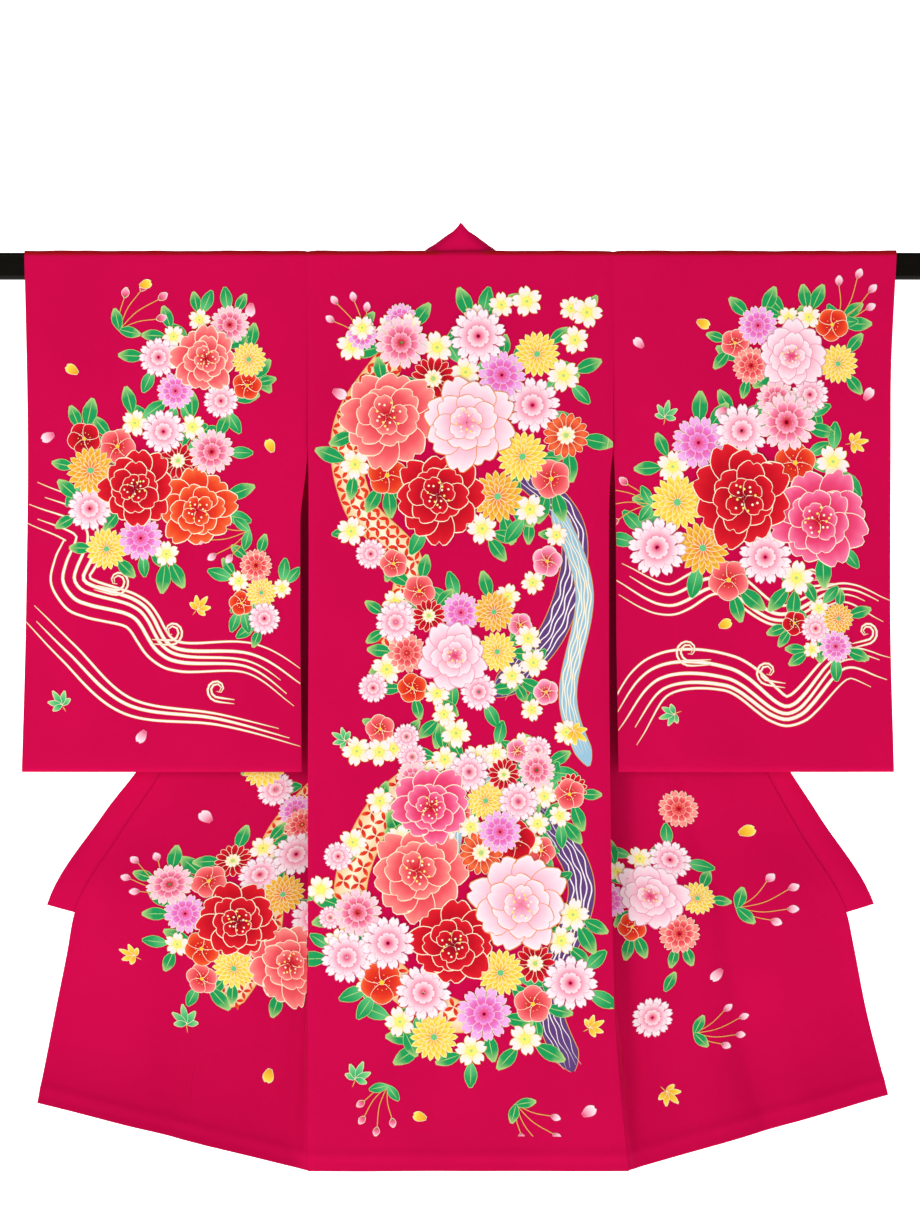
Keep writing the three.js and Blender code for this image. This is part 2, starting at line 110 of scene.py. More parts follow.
SKIRT_WAVES = [(116, 32, 4), (162, 26, -5), (214, 40, 4), (274, 40, -3)]  # along, half width, depth
SKIRT_WAVES_FROM, SKIRT_WAVES_FULL, HEM_SPREAD_FROM = 590, 820, 850
OKUMI_RIDGE, OKUMI_RIDGE_BEFORE, OKUMI_RIDGE_AFTER = 3.0, 50, 18  # height, reach to either side of the seam
OKUMI_RIDGE_FROM, OKUMI_RIDGE_FULL = 480, 640
FOLD_FADE = 90

# %% [markdown]
# A smooth reader turns a short table into a curve. Its slopes are the harmonic mean of the slopes on
# either side, so the curve never swings past a row of the table and a seam stays where it was put.

# %% Curves from tables
def read(table, column, place):
    """The value of a column at one place or many, smooth from row to row."""
    names, rows = table
    rows = np.array(rows, float)
    at, value = rows[:, 0], rows[:, names.split().index(column)]
    place = np.asarray(place, float)
    if at[-1] < at[0]:
        at, place = -at, -place
    rate = np.diff(value) / np.diff(at)
    both = rate[:-1] * rate[1:]
    total = np.where(both > 0, rate[:-1] + rate[1:], 1)
    slope = np.concatenate([rate[:1], np.where(both > 0, 2 * both / total, 0), rate[-1:]])
    place = np.clip(place, at[0], at[-1])
    i = np.clip(np.searchsorted(at, place, side="right") - 1, 0, len(at) - 2)
    span = at[i + 1] - at[i]
    t = (place - at[i]) / span
    return (value[i] * (1 + 2 * t) * (1 - t) ** 2 + slope[i] * span * t * (1 - t) ** 2
            + value[i + 1] * t * t * (3 - 2 * t) + slope[i + 1] * span * t * t * (t - 1))


def ease(t):
    t = np.clip(t, 0, 1)
    return t * t * (3 - 2 * t)


def lengths(path):
    """How far along a path each of its points lies."""
    return np.concatenate([[0], np.cumsum(np.linalg.norm(np.diff(path, axis=0), axis=1))])


def at_places(places, marks, path):
    """The path's own values, read off at other places along its marks."""
    return np.stack([np.interp(places, marks, column) for column in path.T], axis=1)


def bump(t):
    return np.where(np.abs(t) < 1, 0.5 + 0.5 * np.cos(np.pi * np.clip(t, -1, 1)), 0)


def over_rail(drop):
    """Place and outward way of the cloth, a distance below the shoulder line, on one side of the rail."""
    drop = np.asarray(drop, float)
    turned = np.clip((drop - FOLD_FLAT) / FOLD_ROUND, 0, math.pi / 2)
    y = np.minimum(drop, FOLD_FLAT) + FOLD_ROUND * np.sin(turned)
    z = OVER_Z - FOLD_ROUND * (1 - np.cos(turned)) - np.maximum(drop - FOLD_FLAT - FOLD_ROUND * math.pi / 2, 0)
    return y, z, np.sin(turned), np.cos(turned)


# %% [markdown]
# Silk this light keeps large soft folds where it hangs and small dents where it was handled. The large
# ones are those of the solids. The small ones are listed below, as lines with a width and a
# depth, uneven as real ones are, on the back, on both layers of each sleeve and on the skirt.

# %% Soft folds and small creases
CREASES = [  # from x, z, to x, z, half width, depth (minus is a trough)
    (-150, -40, -96, -250, 13, -0.7), (-60, -30, -88, -150, 10, 0.6), (60, -24, 92, -170, 12, -0.6),
    (150, -60, 120, -210, 14, 0.8), (-20, -420, 12, -640, 18, 0.9), (-160, -560, -140, -900, 9, -0.8),
    (150, -620, 138, -1000, 10, 0.8), (-90, -900, -70, -1030, 16, 1.0), (40, -880, 62, -1030, 15, -0.9),
    (100, -940, 118, -1032, 12, 0.8), (-30, -940, -44, -1030, 11, -0.8), (0, -1000, 10, -1034, 14, 0.7),
    (-480, -60, -420, -300, 16, 0.9), (-400, -30, -372, -190, 14, -0.8), (-330, -26, -300, -180, 12, 0.7),
    (-240, -30, -214, -170, 12, -0.8), (-480, -360, -455, -570, 13, -0.9), (-310, -420, -290, -575, 17, 0.9),
    (-220, -300, -226, -560, 10, -0.8), (-400, -500, -360, -575, 15, 0.8), (-450, -560, -330, -566, 9, 0.5),
    (470, -50, 448, -260, 16, -0.9), (392, -28, 402, -220, 15, 0.8), (300, -28, 322, -200, 13, -0.8),
    (226, -26, 214, -190, 11, 0.8), (480, -340, 470, -572, 13, 0.9), (312, -400, 330, -570, 18, -0.9),
    (240, -330, 232, -570, 11, 0.9), (400, -480, 420, -576, 15, -0.8), (230, -560, 360, -568, 9, 0.5)]
SKIRT_CREASES = [  # along the cloth, how far below the shoulder line, to along, below, half width, depth
    (60, 640, 84, 900, 12, -0.9), (92, 860, 100, 1050, 13, 1.0), (190, 640, 200, 880, 15, -1.0),
    (244, 700, 256, 1000, 17, 0.9), (290, 780, 286, 1040, 11, -0.8), (134, 900, 136, 1060, 9, 0.9),
    (30, 820, 44, 1040, 10, 0.8), (226, 960, 238, 1058, 13, -0.8)]


def dents(table, a, b):
    """The depth of a table of creases at places a, b: a soft line that fades at both ends."""
    total = np.zeros(np.broadcast(a, b).shape)
    for a0, b0, a1, b1, half, depth in table:
        length = math.hypot(a1 - a0, b1 - b0)
        along = ((a - a0) * (a1 - a0) + (b - b0) * (b1 - b0)) / length
        off = ((a - a0) * (b1 - b0) - (b - b0) * (a1 - a0)) / length
        off = off + 0.25 * half * np.sin(along / 31)
        fade = ease(along / 40) * ease((length - along) / 40)
        total += depth * bump(off / (2.6 * half)) * fade
    return total


def soft_fold(x, z):
    """How far the panel stands toward the viewer."""
    total = np.zeros(np.broadcast(x, z).shape)
    for place, half, depth, top, bottom in FOLDS:
        fade = ease((top - z) / FOLD_FADE) * ease((z - bottom + FOLD_FADE) / FOLD_FADE)
        total += depth * bump((x - place) / (2 * half)) * fade
    return total * ease((-z - 30) / 120)


def shoulder_puckers(x, drop):
    """Small rises where the cloth is drawn over the rail."""
    fade = ease(1 - drop / 60)
    return fade * (0.35 + 0.22 * np.sin(x / 15) + 0.16 * np.sin(x / 6.1 + 2) + 0.12 * np.sin(x / 37 + 1))


def hem_roll(drop):
    return HEM_ROLL_SWELL * bump((HEM_DROP - drop - HEM_ROLL) / (0.6 * HEM_ROLL))


def seam_dip(distance, depth=0.95, reach=3.4):
    """Cloth dips into a seam, over the last few millimetres before it."""
    return -depth * np.exp(-((distance / reach) ** 2))


# %% [markdown]
# Each panel is worked out as a fine grid of points on its printed face. The grid serves twice: a flat
# bmesh grid is laid on it to make the silk, and every dyed flower is laid on it too, so the print
# follows each fold exactly. A panel keeps its across and down measures, which run in millimetres of
# cloth and become its UV map, so weave and print both follow the grain.

# %% A panel as a grid of points
class Panel:
    """Points of the printed face and their outward ways, with the measures of the columns and the rows."""

    def __init__(self, name, across, down, points, out, measures=None):
        self.name, self.across, self.down = name, across, down
        self.points, self.out, self.measures = points, out, measures

    def place(self, a, d, lift):
        """Points at measures a and d of the panel, lifted off its face. All in millimetres."""
        i, j = (np.clip(np.interp(value, marks, np.arange(len(marks))), 0, len(marks) - 1.000001)
                for value, marks in ((d, self.down), (a, self.across)))
        i0, j0 = i.astype(int), j.astype(int)
        ti, tj = (i - i0)[:, None], (j - j0)[:, None]

        def row(grid, k):
            return grid[k, j0] * (1 - tj) + grid[k, j0 + 1] * tj

        def mix(grid):
            return row(grid, i0) * (1 - ti) + row(grid, i0 + 1) * ti

        return mix(self.points) + mix(self.out) * lift[:, None]


def outward(points, hint):
    """Unit normals of a grid, turned to the side that hint points to."""
    down = np.gradient(points, axis=0)
    across = np.gradient(points, axis=1)
    out = np.cross(down, across)
    out /= np.maximum(np.linalg.norm(out, axis=2, keepdims=True), 1e-9)
    side = np.sign(np.sum(out * hint, axis=2).mean())
    return out * side


def spaced(start, stop, step):
    return np.linspace(start, stop, max(2, round((stop - start) / step) + 1))


PITCH = 4.6  # of the grids
FINE_ABOVE, FINE_BELOW = 22, HEM_DROP - 40  # rows stand closer on the shoulder fold and at the hem
HEM_ROWS = spaced(FINE_BELOW, HEM_DROP, 2.5)
ALL_DROPS = np.concatenate([
    np.linspace(0, FINE_ABOVE, 15)[:-1], spaced(FINE_ABOVE, FINE_BELOW, PITCH)[:-1], HEM_ROWS])


def back_panel():
    across = spaced(-BACK_HALF, BACK_HALF, PITCH)
    drops = ALL_DROPS.copy()
    drops[0] = -SEAM_GAP
    a, d = np.meshgrid(across / BACK_HALF, drops)
    z = over_rail(np.maximum(d, 0))[1]
    left, right = (read(SIDES[word]["side"], "body", z) for word in ("left", "right"))
    x = a * np.where(a < 0, left, right)
    neck = NECK_BACK * ease((NECK_HALF - np.abs(x)) / NECK_CORNER + 0.4)
    hung = np.maximum(d, neck + NECK_CROWDING * np.maximum(d, 0))
    y, z, out_y, out_z = over_rail(np.maximum(hung, 0))
    y = y + np.minimum(hung, 0)
    edge = BACK_HALF * (1 - np.abs(a))
    rise = CLOTH / 2 + hem_roll(d) + dents(CREASES, x, z) + seam_dip(edge) + shoulder_puckers(x, d)
    points = np.stack([x, -y - soft_fold(x, z) - out_y * rise, z + out_z * rise], axis=2)
    return Panel("back_body", across, drops, points, outward(points, np.array([0, -1, 0])))


def sleeve_panel(side, name):
    """The sleeve's ring runs down its near layer from the fold, through the bottom, and up the far one."""
    sign = side["sign"]
    bottom = DROP_AT_ZERO - SLEEVE_BOTTOM_Z - SLEEVE_BOTTOM_HALF
    drops = np.concatenate([np.linspace(0, FINE_ABOVE, 11)[:-1], spaced(FINE_ABOVE, bottom, PITCH)])
    turn = SLEEVE_BOTTOM_HALF * math.pi
    far = 2 * bottom + turn - drops[::-1]
    down = np.concatenate([drops, bottom + turn * np.array([0.2, 0.4, 0.6, 0.8]), far])
    folded = np.where(down > bottom + turn / 2, 2 * bottom + turn - down, down)
    layer = np.clip(folded, 0, bottom)
    face = np.where(down > bottom + turn / 2, 1, -1)
    y, z, _, out_z = over_rail(layer)
    narrow = ease((-z - RAIL_HEIGHT / 2) / (-SLEEVE_BOTTOM_Z - RAIL_HEIGHT / 2))
    y = y * (1 - narrow) + SLEEVE_BOTTOM_HALF * narrow
    round_end = np.clip((down - bottom) / turn, 0, 1) * math.pi
    in_turn = (down > bottom) & (down < bottom + turn)
    y = np.where(in_turn, SLEEVE_BOTTOM_HALF * np.abs(np.cos(round_end)), y)
    z = np.where(in_turn, z - SLEEVE_BOTTOM_HALF * np.sin(round_end), z)
    across = spaced(0, SLEEVE_WIDE, PITCH)
    u, y2 = np.meshgrid(across / SLEEVE_WIDE, face * y)
    z2 = np.repeat(z[:, None], len(across), axis=1)
    layer2, face2 = layer[:, None], face[:, None]
    inner = read(side["side"], "body", z2) + read(side["side"], "slit", z2) - SEAM_GAP
    x = sign * (inner + u * (read(side["cuff"], "x", z2) - inner))
    y2 = y2 - soft_fold(x, z2)
    points = np.stack([x, y2, z2], axis=2)
    out = outward(points, np.stack([0 * x, face2 + 0.0 * x, 0 * x], axis=2))
    sewn = np.where(z2 > ARMHOLE_Z, SLEEVE_WIDE * u, 1e3)
    rise = CLOTH / 2 + dents(CREASES, x, z2) * -face2 + seam_dip(sewn) + shoulder_puckers(x, layer2)
    rise = rise + seam_dip(bottom + 4 - layer2, 0.4, 4)
    points = points + out * rise[:, :, None]
    return Panel(name, across, down, points, outward(points, out))


# %% [markdown]
# A front hangs behind the rail, is tucked back on itself beside the side seam, and swings outward
# below, so the printed face turns round to the viewer. Each row is a walk along the cloth: it leaves
# the side seam at one angle and eases to straight outward. The length before the turn is found by
# halving, so that the front edge lands where the photograph shows it.

# %% The fronts and the overlap panels
def front_rows(side, drops, measures):
    """Middle surface and outward way of a front at each drop and at each distance from the side seam."""
    sign, steps = side["sign"], 240
    points, outs, widths = [], [], []
    for drop in drops:
        top_y, top_z, out_y, out_z = (float(v) for v in over_rail(drop))
        width, turn, angle, rise = (float(read(HANG, name, drop)) for name in ("width", "turn", "angle", "rise"))
        angle = math.radians(angle)
        low = float(ease((drop - HEM_SPREAD_FROM) / (HEM_DROP - HEM_SPREAD_FROM)))
        rise = rise * (1 - low) + side["hem_rise"] * low
        width = width * (1 - low) + side["hem_width"] * low
        side_x = float(read(side["side"], "body", top_z))
        s = np.linspace(0, width, steps + 1)
        middle = (s[1:] + s[:-1]) / 2
        shortest, longest = -turn, width
        for _ in range(30):
            leg = (shortest + longest) / 2
            heading = angle * (1 - ease((middle - leg) / turn))
            reach = np.cos(heading).sum() * width / steps
            climb = rise * 0.5 * (reach + math.hypot(reach, 8))
            if reach > float(read(side["edge"], "x", top_z + climb)) - side_x:
                shortest = leg
            else:
                longest = leg
        out, back = (np.concatenate([[0], np.cumsum(way(heading))]) * width / steps for way in (np.cos, np.sin))
        start = angle * (1 - float(ease(-leg / turn)))
        inward = start > math.pi / 2
        thick = CLOTH + float(hem_roll(drop))
        beside = (SEAM_GAP * math.sin(start) if inward else SEAM_GAP) + thick / 2 * math.sin(start)
        behind = (SEAM_GAP + thick) * -math.cos(start) if inward else 0
        joined = float(ease((ARMHOLE_Z - top_z) / (ARMHOLE_Z - SIDE_SEAM_Z)))
        seam_y = -OVER_Y - float(soft_fold(sign * side_x, top_z)) + behind + 0.6 * math.sin(start)
        start_y = top_y * (1 - joined) + seam_y * joined
        at = measures(width)
        o, b = np.interp(at, s, out), np.interp(at, s, back)
        h = angle * (1 - ease((at - leg) / turn))
        grown = float(ease((drop - SKIRT_WAVES_FROM) / (SKIRT_WAVES_FULL - SKIRT_WAVES_FROM)))
        stand = sum(depth * bump((at - place) / (2 * half)) for place, half, depth in SKIRT_WAVES) * grown
        away = at - FRONT_WIDTH
        ridge = bump(away / np.where(away < 0, OKUMI_RIDGE_BEFORE, OKUMI_RIDGE_AFTER))
        grown = float(ease((drop - OKUMI_RIDGE_FROM) / (OKUMI_RIDGE_FULL - OKUMI_RIDGE_FROM)))
        stand = stand + OKUMI_RIDGE * ridge * grown
        x = side_x + beside * joined + o + np.sin(h) * stand
        deep = b - np.cos(h) * stand
        z = top_z + out_z * deep + rise * 0.5 * (o + np.hypot(o, 8))
        points.append(np.stack([sign * x, start_y + out_y * deep, z], axis=1))
        outs.append(np.stack([sign * np.sin(h), -np.cos(h) * out_y, -np.cos(h) * out_z], axis=1))
        widths.append(width)
    return np.array(points), np.array(outs), np.array(widths)


SEAM_TUCK, SEAM_TUCK_DEPTH = 4.0, 0.6  # of a front under the edge of the back


def front_panel(side, name, drops, first, last, under=None):
    """A panel of a front between two distances from the side seam, which may depend on the row's width."""
    count = 2 + round((last(330) - first(330)) / PITCH)
    across = np.linspace(0, 1, count)

    def measures(width):
        return first(width) + across * (last(width) - first(width))

    points, outs, widths = front_rows(side, drops, measures)
    s = np.array([measures(width) for width in widths])
    d = drops[:, None]
    flow = outward(points, outs)
    flow = np.where(np.sum(flow * outs, axis=2, keepdims=True) < 0, -flow, flow)
    ends = np.minimum(s - s[:, :1], s[:, -1:] - s)
    rise = CLOTH / 2 + hem_roll(d) + dents(SKIRT_CREASES, s, d + 0 * s) + seam_dip(ends, 0.28, 5.5)
    points = points + flow * rise[:, :, None]
    if under:
        below = ease((drops - DROP_AT_ZERO + SIDE_SEAM_Z) / 30)[:, None]
        level = np.ones(len(drops))
        tucked = under.place(level * side["sign"] * (BACK_HALF - SEAM_TUCK), drops, level * -SEAM_TUCK_DEPTH)
        points[:, 0] += (tucked - points[:, 0]) * below
    return Panel(name, s[-1], drops, points, flow, s)


FRONT_DROPS = np.concatenate([[SEAM_GAP / 2], ALL_DROPS[1:]])
OKUMI_DROPS = np.concatenate([spaced(OKUMI_TOP, FINE_BELOW, PITCH)[:-1], HEM_ROWS])
OKUMI_SEAM = FRONT_WIDTH + SEAM_GAP / 2
back = back_panel()
made = [back]
for word, side in SIDES.items():
    made += [
        sleeve_panel(side, "sleeve_" + word),
        front_panel(side, "front_body_" + word, FRONT_DROPS, lambda w: 0.0, lambda w: min(OKUMI_SEAM, w), back),
        front_panel(side, "okumi_" + word, OKUMI_DROPS, lambda w: OKUMI_SEAM, lambda w: w)]
panels = {panel.name: panel for panel in made}
print("panels", {name: panel.points.shape[:2] for name, panel in panels.items()})

# %% [markdown]
# The collar is one straight band folded along its middle. It stands in a small peak at the back of the
# neck, rolls over beside it, and runs down both front edges. Each row gives its seam and its free fold.

# %% The collar band
NECK_ROWS = [  # seam x, y, z, then fold x, y, z, from the middle of the neck to its side
    (0, -9.2, 18.0, 0, -8.0, 51.0), (7, -9.2, 18.0, 3.5, -7.5, 46.0), (15, -9.2, 18.0, 8.5, -6.5, 40.5),
    (24, -9.0, 18.0, 15.0, -4.0, 36.6), (32, -8.0, 18.0, 21.5, 0.0, 32.2), (37.5, -6.0, 18.2, 26.0, 5.0, 28.9)]
COLLAR_WIDE = 33
COLLAR_WIDTHS = ("drop width lean", [
    (0, 17, 27), (15, 18, 33), (40, 20, 0), (200, 22, 0), (613, 24, 0), (700, 29, 0),
    (COLLAR_END, COLLAR_WIDE, 0)])


def collar_side(side):
    """Seam and fold of the collar at each drop, down one front edge."""
    drops = np.concatenate([[0.3, 4, FOLD_FLAT, 9.9, 12.5, 15.1], np.linspace(20, COLLAR_END, 110)])

    def seam(at):
        def ends(width):
            edge = min(FRONT_WIDTH, width) if at < OKUMI_TOP else width
            return np.array([edge - 1, edge])
        points, _, _ = front_rows(side, [at], ends)
        return points[0]

    rows = []
    for drop in drops:
        before, base = seam(drop)
        out = base - before
        out /= np.linalg.norm(out)
        down = seam(drop + 4)[1] - seam(max(drop - 4, 0.1))[1]
        down /= np.linalg.norm(down)
        across = Vector(out - down * out.dot(down)).normalized()
        lean = side["sign"] * math.radians(float(read(COLLAR_WIDTHS, "lean", drop)))
        across.rotate(Matrix.Rotation(lean, 3, Vector(down)))
        across = np.array(across)
        width = float(read(COLLAR_WIDTHS, "width", drop))
        rows.append((base - across * 1.6, base + across * width))
    return rows


def collar_panel():
    neck = np.array(NECK_ROWS, float)
    neck[:, 2] -= 2.0  # the seam turns in below the back's neck edge
    half = [(row[:3], row[3:]) for row in neck]
    other = [(row[:3] * (-1, 1, 1), row[3:] * (-1, 1, 1)) for row in neck[1:]]
    rows = collar_side(SIDES["left"])[::-1] + other[::-1] + half + collar_side(SIDES["right"])
    lines = np.array(rows).transpose(1, 0, 2)
    length = lengths(lines.mean(axis=0))
    down = spaced(0, length[-1], PITCH)
    seam, fold = (at_places(down, length, line) for line in lines)
    across = np.linspace(0, 1, 9)
    points = seam[:, None] * (1 - across[None, :, None]) + fold[:, None] * across[None, :, None]
    out = outward(points, np.array([0, -1, 0]))
    plump = 2.0 * ease(across / 0.6) - 1.0 - 1.0 * ease((across - 0.8) / 0.2)
    points = points + out * plump[None, :, None]
    return Panel("collar", across * COLLAR_WIDE, down, points, out)


panels["collar"] = collar_panel()
print("collar length", round(float(panels["collar"].down[-1])), "mm")

# %% [markdown]
# Silk crepe is dyed deep rose. Its yarns are twisted hard, so the weave is a fine pebble that breaks
# up the shine. The shader reads the panel's own UV map in millimetres of cloth: a small noise is the
# crepe, two fine waves are warp and weft, and a slow noise varies the dye a little, as real dye does.
# The lining is plain dark red silk. The top of the fold over the rail is painted dark red on the body
# and sleeves, as painted shade. Lacquer is black, smooth and glossy, over wood.

# %% Materials
def linear(red, green, blue):
    """A colour picked in 0 to 255 screen values, as the shader wants it."""
    return tuple(((c / 255 + 0.055) / 1.055) ** 2.4 if c > 10 else c / 255 / 12.92
                 for c in (red, green, blue)) + (1,)


ROSE, ROSE_DEEP = linear(200, 0, 73), linear(188, 0, 64)
LINING, LINING_DEEP = linear(138, 10, 20), linear(118, 6, 14)
# painted shade: the dark red given to the top of the fold over the rail, where it lies in shade
SHOULDER_SHADE_RED = linear(168, 12, 26)
SHOULDER_SHADE_BAND = (0.0108, 0.0138)  # the heights between which the fold over the rail is painted dark red, as painted shade
SHADE_NECK_FADE = (0.016, 0.034)  # how far from the middle that painted shade is full again


def new_material(name, **values):
    """A material with these constants on its shader."""
    material = bpy.data.materials.new(name)
    material.use_nodes = True
    shader = material.node_tree.nodes["Principled BSDF"]
    for key, value in values.items():
        shader.inputs[key.replace("_", " ")].default_value = value
    return material, material.node_tree, shader


def node(tree, kind, feeds=None, **values):
    """A node with its settings, its inputs' values, and other nodes' outputs fed into it."""
    made = tree.nodes.new(kind)
    for name, value in values.items():
        if hasattr(made, name):
            setattr(made, name, value)
        else:
            made.inputs[name.replace("_", " ")].default_value = value
    for name, output in (feeds or {}).items():
        tree.links.new(output, made.inputs[name])
    return made


def painted_shoulder_shade(tree, place, under, colour):
    """Painted shade: the fold over the rail turns dark red by height, fainter behind the neck."""
    split = node(tree, "ShaderNodeSeparateXYZ", {0: place})
    smooth = {"interpolation_type": "SMOOTHSTEP"}
    rise = node(tree, "ShaderNodeMapRange", {"Value": split.outputs["Z"]}, **smooth,
                From_Min=SHOULDER_SHADE_BAND[0], From_Max=SHOULDER_SHADE_BAND[1])
    middle = node(tree, "ShaderNodeMath", {0: split.outputs["X"]}, operation="ABSOLUTE")
    aside = node(tree, "ShaderNodeMapRange", {"Value": middle.outputs[0]}, **smooth,
                 From_Min=SHADE_NECK_FADE[0], From_Max=SHADE_NECK_FADE[1], To_Min=0.3)
    both = node(tree, "ShaderNodeMath", {0: rise.outputs[0], 1: aside.outputs[0]}, operation="MULTIPLY")
    band = node(tree, "ShaderNodeMix", data_type="RGBA")
    band.inputs["B"].default_value = colour
    tree.links.new(both.outputs[0], band.inputs["Factor"])
    tree.links.new(under, band.inputs["A"])
    return band


def cloth_material(name, colours=None, roughness=0.68, sheen=0.015, grain=0.18, shoulder=None):
    """Dyed silk: one colour with slow variation, or the print's own dye attribute where colours is None, with
    painted shade on the fold over the rail where shoulder is given.
    """
    material, tree, shader = new_material(
        name, Sheen_Weight=sheen, Sheen_Roughness=0.45, Specular_IOR_Level=0.045)
    yarn = {"Vector": node(tree, "ShaderNodeUVMap", uv_map="grain").outputs[0]}
    crepe = node(tree, "ShaderNodeTexNoise", yarn, Scale=1.9, Detail=3.0, Roughness=0.62).outputs["Fac"]
    warp = node(tree, "ShaderNodeTexWave", yarn, Scale=1.1, Distortion=2.2, Detail=1.0, bands_direction="X")
    weft = node(tree, "ShaderNodeTexWave", yarn, Scale=0.9, Distortion=2.6, Detail=1.0, bands_direction="Y")
    yarns = node(tree, "ShaderNodeMath", {0: warp.outputs["Fac"], 1: weft.outputs["Fac"]}, operation="ADD")
    height = node(tree, "ShaderNodeMath", {0: yarns.outputs[0], 2: crepe}, operation="MULTIPLY_ADD")
    height.inputs[1].default_value = 0.35
    relief = node(tree, "ShaderNodeBump", {"Height": height.outputs[0]}, Strength=grain, Distance=0.0004)
    place = node(tree, "ShaderNodeTexCoord").outputs["Object"]
    slow = node(tree, "ShaderNodeTexNoise", {"Vector": place}, Scale=5.5, Detail=2.0, Roughness=0.5)
    mix = node(tree, "ShaderNodeMix", data_type="RGBA")
    if colours:
        mix.inputs["A"].default_value, mix.inputs["B"].default_value = colours
        tree.links.new(slow.outputs["Fac"], mix.inputs["Factor"])
    else:
        dye = node(tree, "ShaderNodeVertexColor", layer_name="dye")
        mix.blend_type = "MULTIPLY"
        mix.inputs["B"].default_value = (0.94, 0.94, 0.94, 1)
        tree.links.new(dye.outputs["Color"], mix.inputs["A"])
        tree.links.new(crepe, mix.inputs["Factor"])
    # painted shade on the fold over the rail
    if shoulder:
        mix = painted_shoulder_shade(tree, place, mix.outputs["Result"], shoulder)
    matt = node(tree, "ShaderNodeMapRange", {"Value": crepe}, To_Min=roughness - 0.07, To_Max=roughness + 0.07)
    tree.links.new(relief.outputs[0], shader.inputs["Normal"])
    tree.links.new(mix.outputs["Result"], shader.inputs["Base Color"])
    tree.links.new(matt.outputs[0], shader.inputs["Roughness"])
    return material


def lacquer_material():
    """Black lacquer, with the faint waves of a hand-brushed coat in its tone, gloss and surface."""
    material, tree, shader = new_material(
        "black_lacquer", Coat_Weight=0.06, Specular_IOR_Level=0.06, Coat_Roughness=0.08)
    place = node(tree, "ShaderNodeTexCoord").outputs["Object"]
    stretch = node(tree, "ShaderNodeMapping", {"Vector": place}, Scale=(3, 60, 60))
    brushed = node(tree, "ShaderNodeTexNoise", {"Vector": stretch.outputs[0]}, Scale=2.0, Detail=3.0,
                   Roughness=0.5)
    brushed = brushed.outputs["Fac"]
    colour = node(tree, "ShaderNodeMix", data_type="RGBA")
    colour.inputs["A"].default_value, colour.inputs["B"].default_value = linear(9, 7, 3), linear(14, 11, 6)
    tree.links.new(brushed, colour.inputs["Factor"])
    gloss = node(tree, "ShaderNodeMapRange", {"Value": brushed}, To_Min=0.2, To_Max=0.32)
    wave = node(tree, "ShaderNodeBump", {"Height": brushed}, Strength=0.06, Distance=0.0005)
    tree.links.new(colour.outputs["Result"], shader.inputs["Base Color"])
    tree.links.new(gloss.outputs[0], shader.inputs["Roughness"])
    tree.links.new(wave.outputs[0], shader.inputs["Normal"])
    return material


# the body and sleeve silk carries the painted shade on the fold over the rail; the collar's silk does not
silk = cloth_material("rose_silk_crepe", (ROSE, ROSE_DEEP), shoulder=SHOULDER_SHADE_RED)
collar_silk = cloth_material("collar_silk_crepe", (ROSE, ROSE_DEEP))
lining = cloth_material("lining_silk", (LINING, LINING_DEEP), roughness=0.6, sheen=0.05, grain=0.08)
dyed = cloth_material("dyed_silk", roughness=0.62, sheen=0.04)
lacquer = lacquer_material()

# %% [markdown]
# A shell starts as a flat bmesh grid with as many cells as its panel. Its points then move onto the
# panel. A Solidify modifier gives it the silk's real thickness inward and puts the lining on the inside.

# %% Silk shells
SILK_THICK, COLLAR_THICK = 1.0, 1.8


def to_mesh(bm, name):
    mesh = bpy.data.meshes.new(name)
    bm.to_mesh(mesh)
    bm.free()
    return mesh


def add_piece(mesh, slot, *materials):
    """A new piece on the part's one body, with its materials."""
    piece = bpy.data.objects.new(mesh.name, mesh)
    bpy.context.collection.objects.link(piece)
    for material in materials:
        mesh.materials.append(material)
    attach(piece, "root")
    return piece


def silk_shell(panel):
    rows, cols = panel.points.shape[:2]
    bm = bmesh.new()
    bmesh.ops.create_grid(bm, x_segments=cols - 1, y_segments=rows - 1, size=0.5)
    mesh = to_mesh(bm, panel.name + "_silk")
    flat = np.zeros(len(mesh.vertices) * 3)
    mesh.vertices.foreach_get("co", flat)
    flat = flat.reshape(-1, 3)
    i = np.rint((0.5 - flat[:, 1]) * (rows - 1)).astype(int)
    j = np.rint((flat[:, 0] + 0.5) * (cols - 1)).astype(int)
    mesh.vertices.foreach_set("co", (panel.points[i, j] * MM).ravel())
    a = panel.across[j] if panel.measures is None else panel.measures[i, j]
    uv = np.stack([a, panel.down[i]], axis=1)
    corners = np.zeros(len(mesh.loops), int)
    mesh.loops.foreach_get("vertex_index", corners)
    mesh.uv_layers.new(name="grain").data.foreach_set("uv", uv[corners].ravel())
    bm = bmesh.new()
    bm.from_mesh(mesh)
    bm.normal_update()
    agree = sum(v.normal.dot(Vector(panel.out[i[k], j[k]])) for k, v in enumerate(bm.verts))
    if panel.name.startswith("sleeve"):
        bmesh.ops.remove_doubles(bm, verts=bm.verts, dist=1e-6)
    if agree < 0:
        bmesh.ops.reverse_faces(bm, faces=bm.faces)
    for quad in bm.faces:
        quad.smooth = True
    for border in bm.edges:
        border.smooth = not border.is_boundary
    bm.to_mesh(mesh)
    bm.free()
    collar = panel.name == "collar"
    piece = add_piece(mesh, "silk_crepe", *((collar_silk, collar_silk) if collar else (silk, lining)))
    solid = piece.modifiers.new("thickness", "SOLIDIFY")
    solid.thickness = (COLLAR_THICK if collar else SILK_THICK) * MM
    solid.offset = -1
    solid.material_offset = 1
    solid.use_even_offset = False
    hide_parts(panel.name)
    return piece


shells = {name: silk_shell(panel) for name, panel in panels.items()}
print("shells", {name: len(piece.data.polygons) for name, piece in shells.items()})

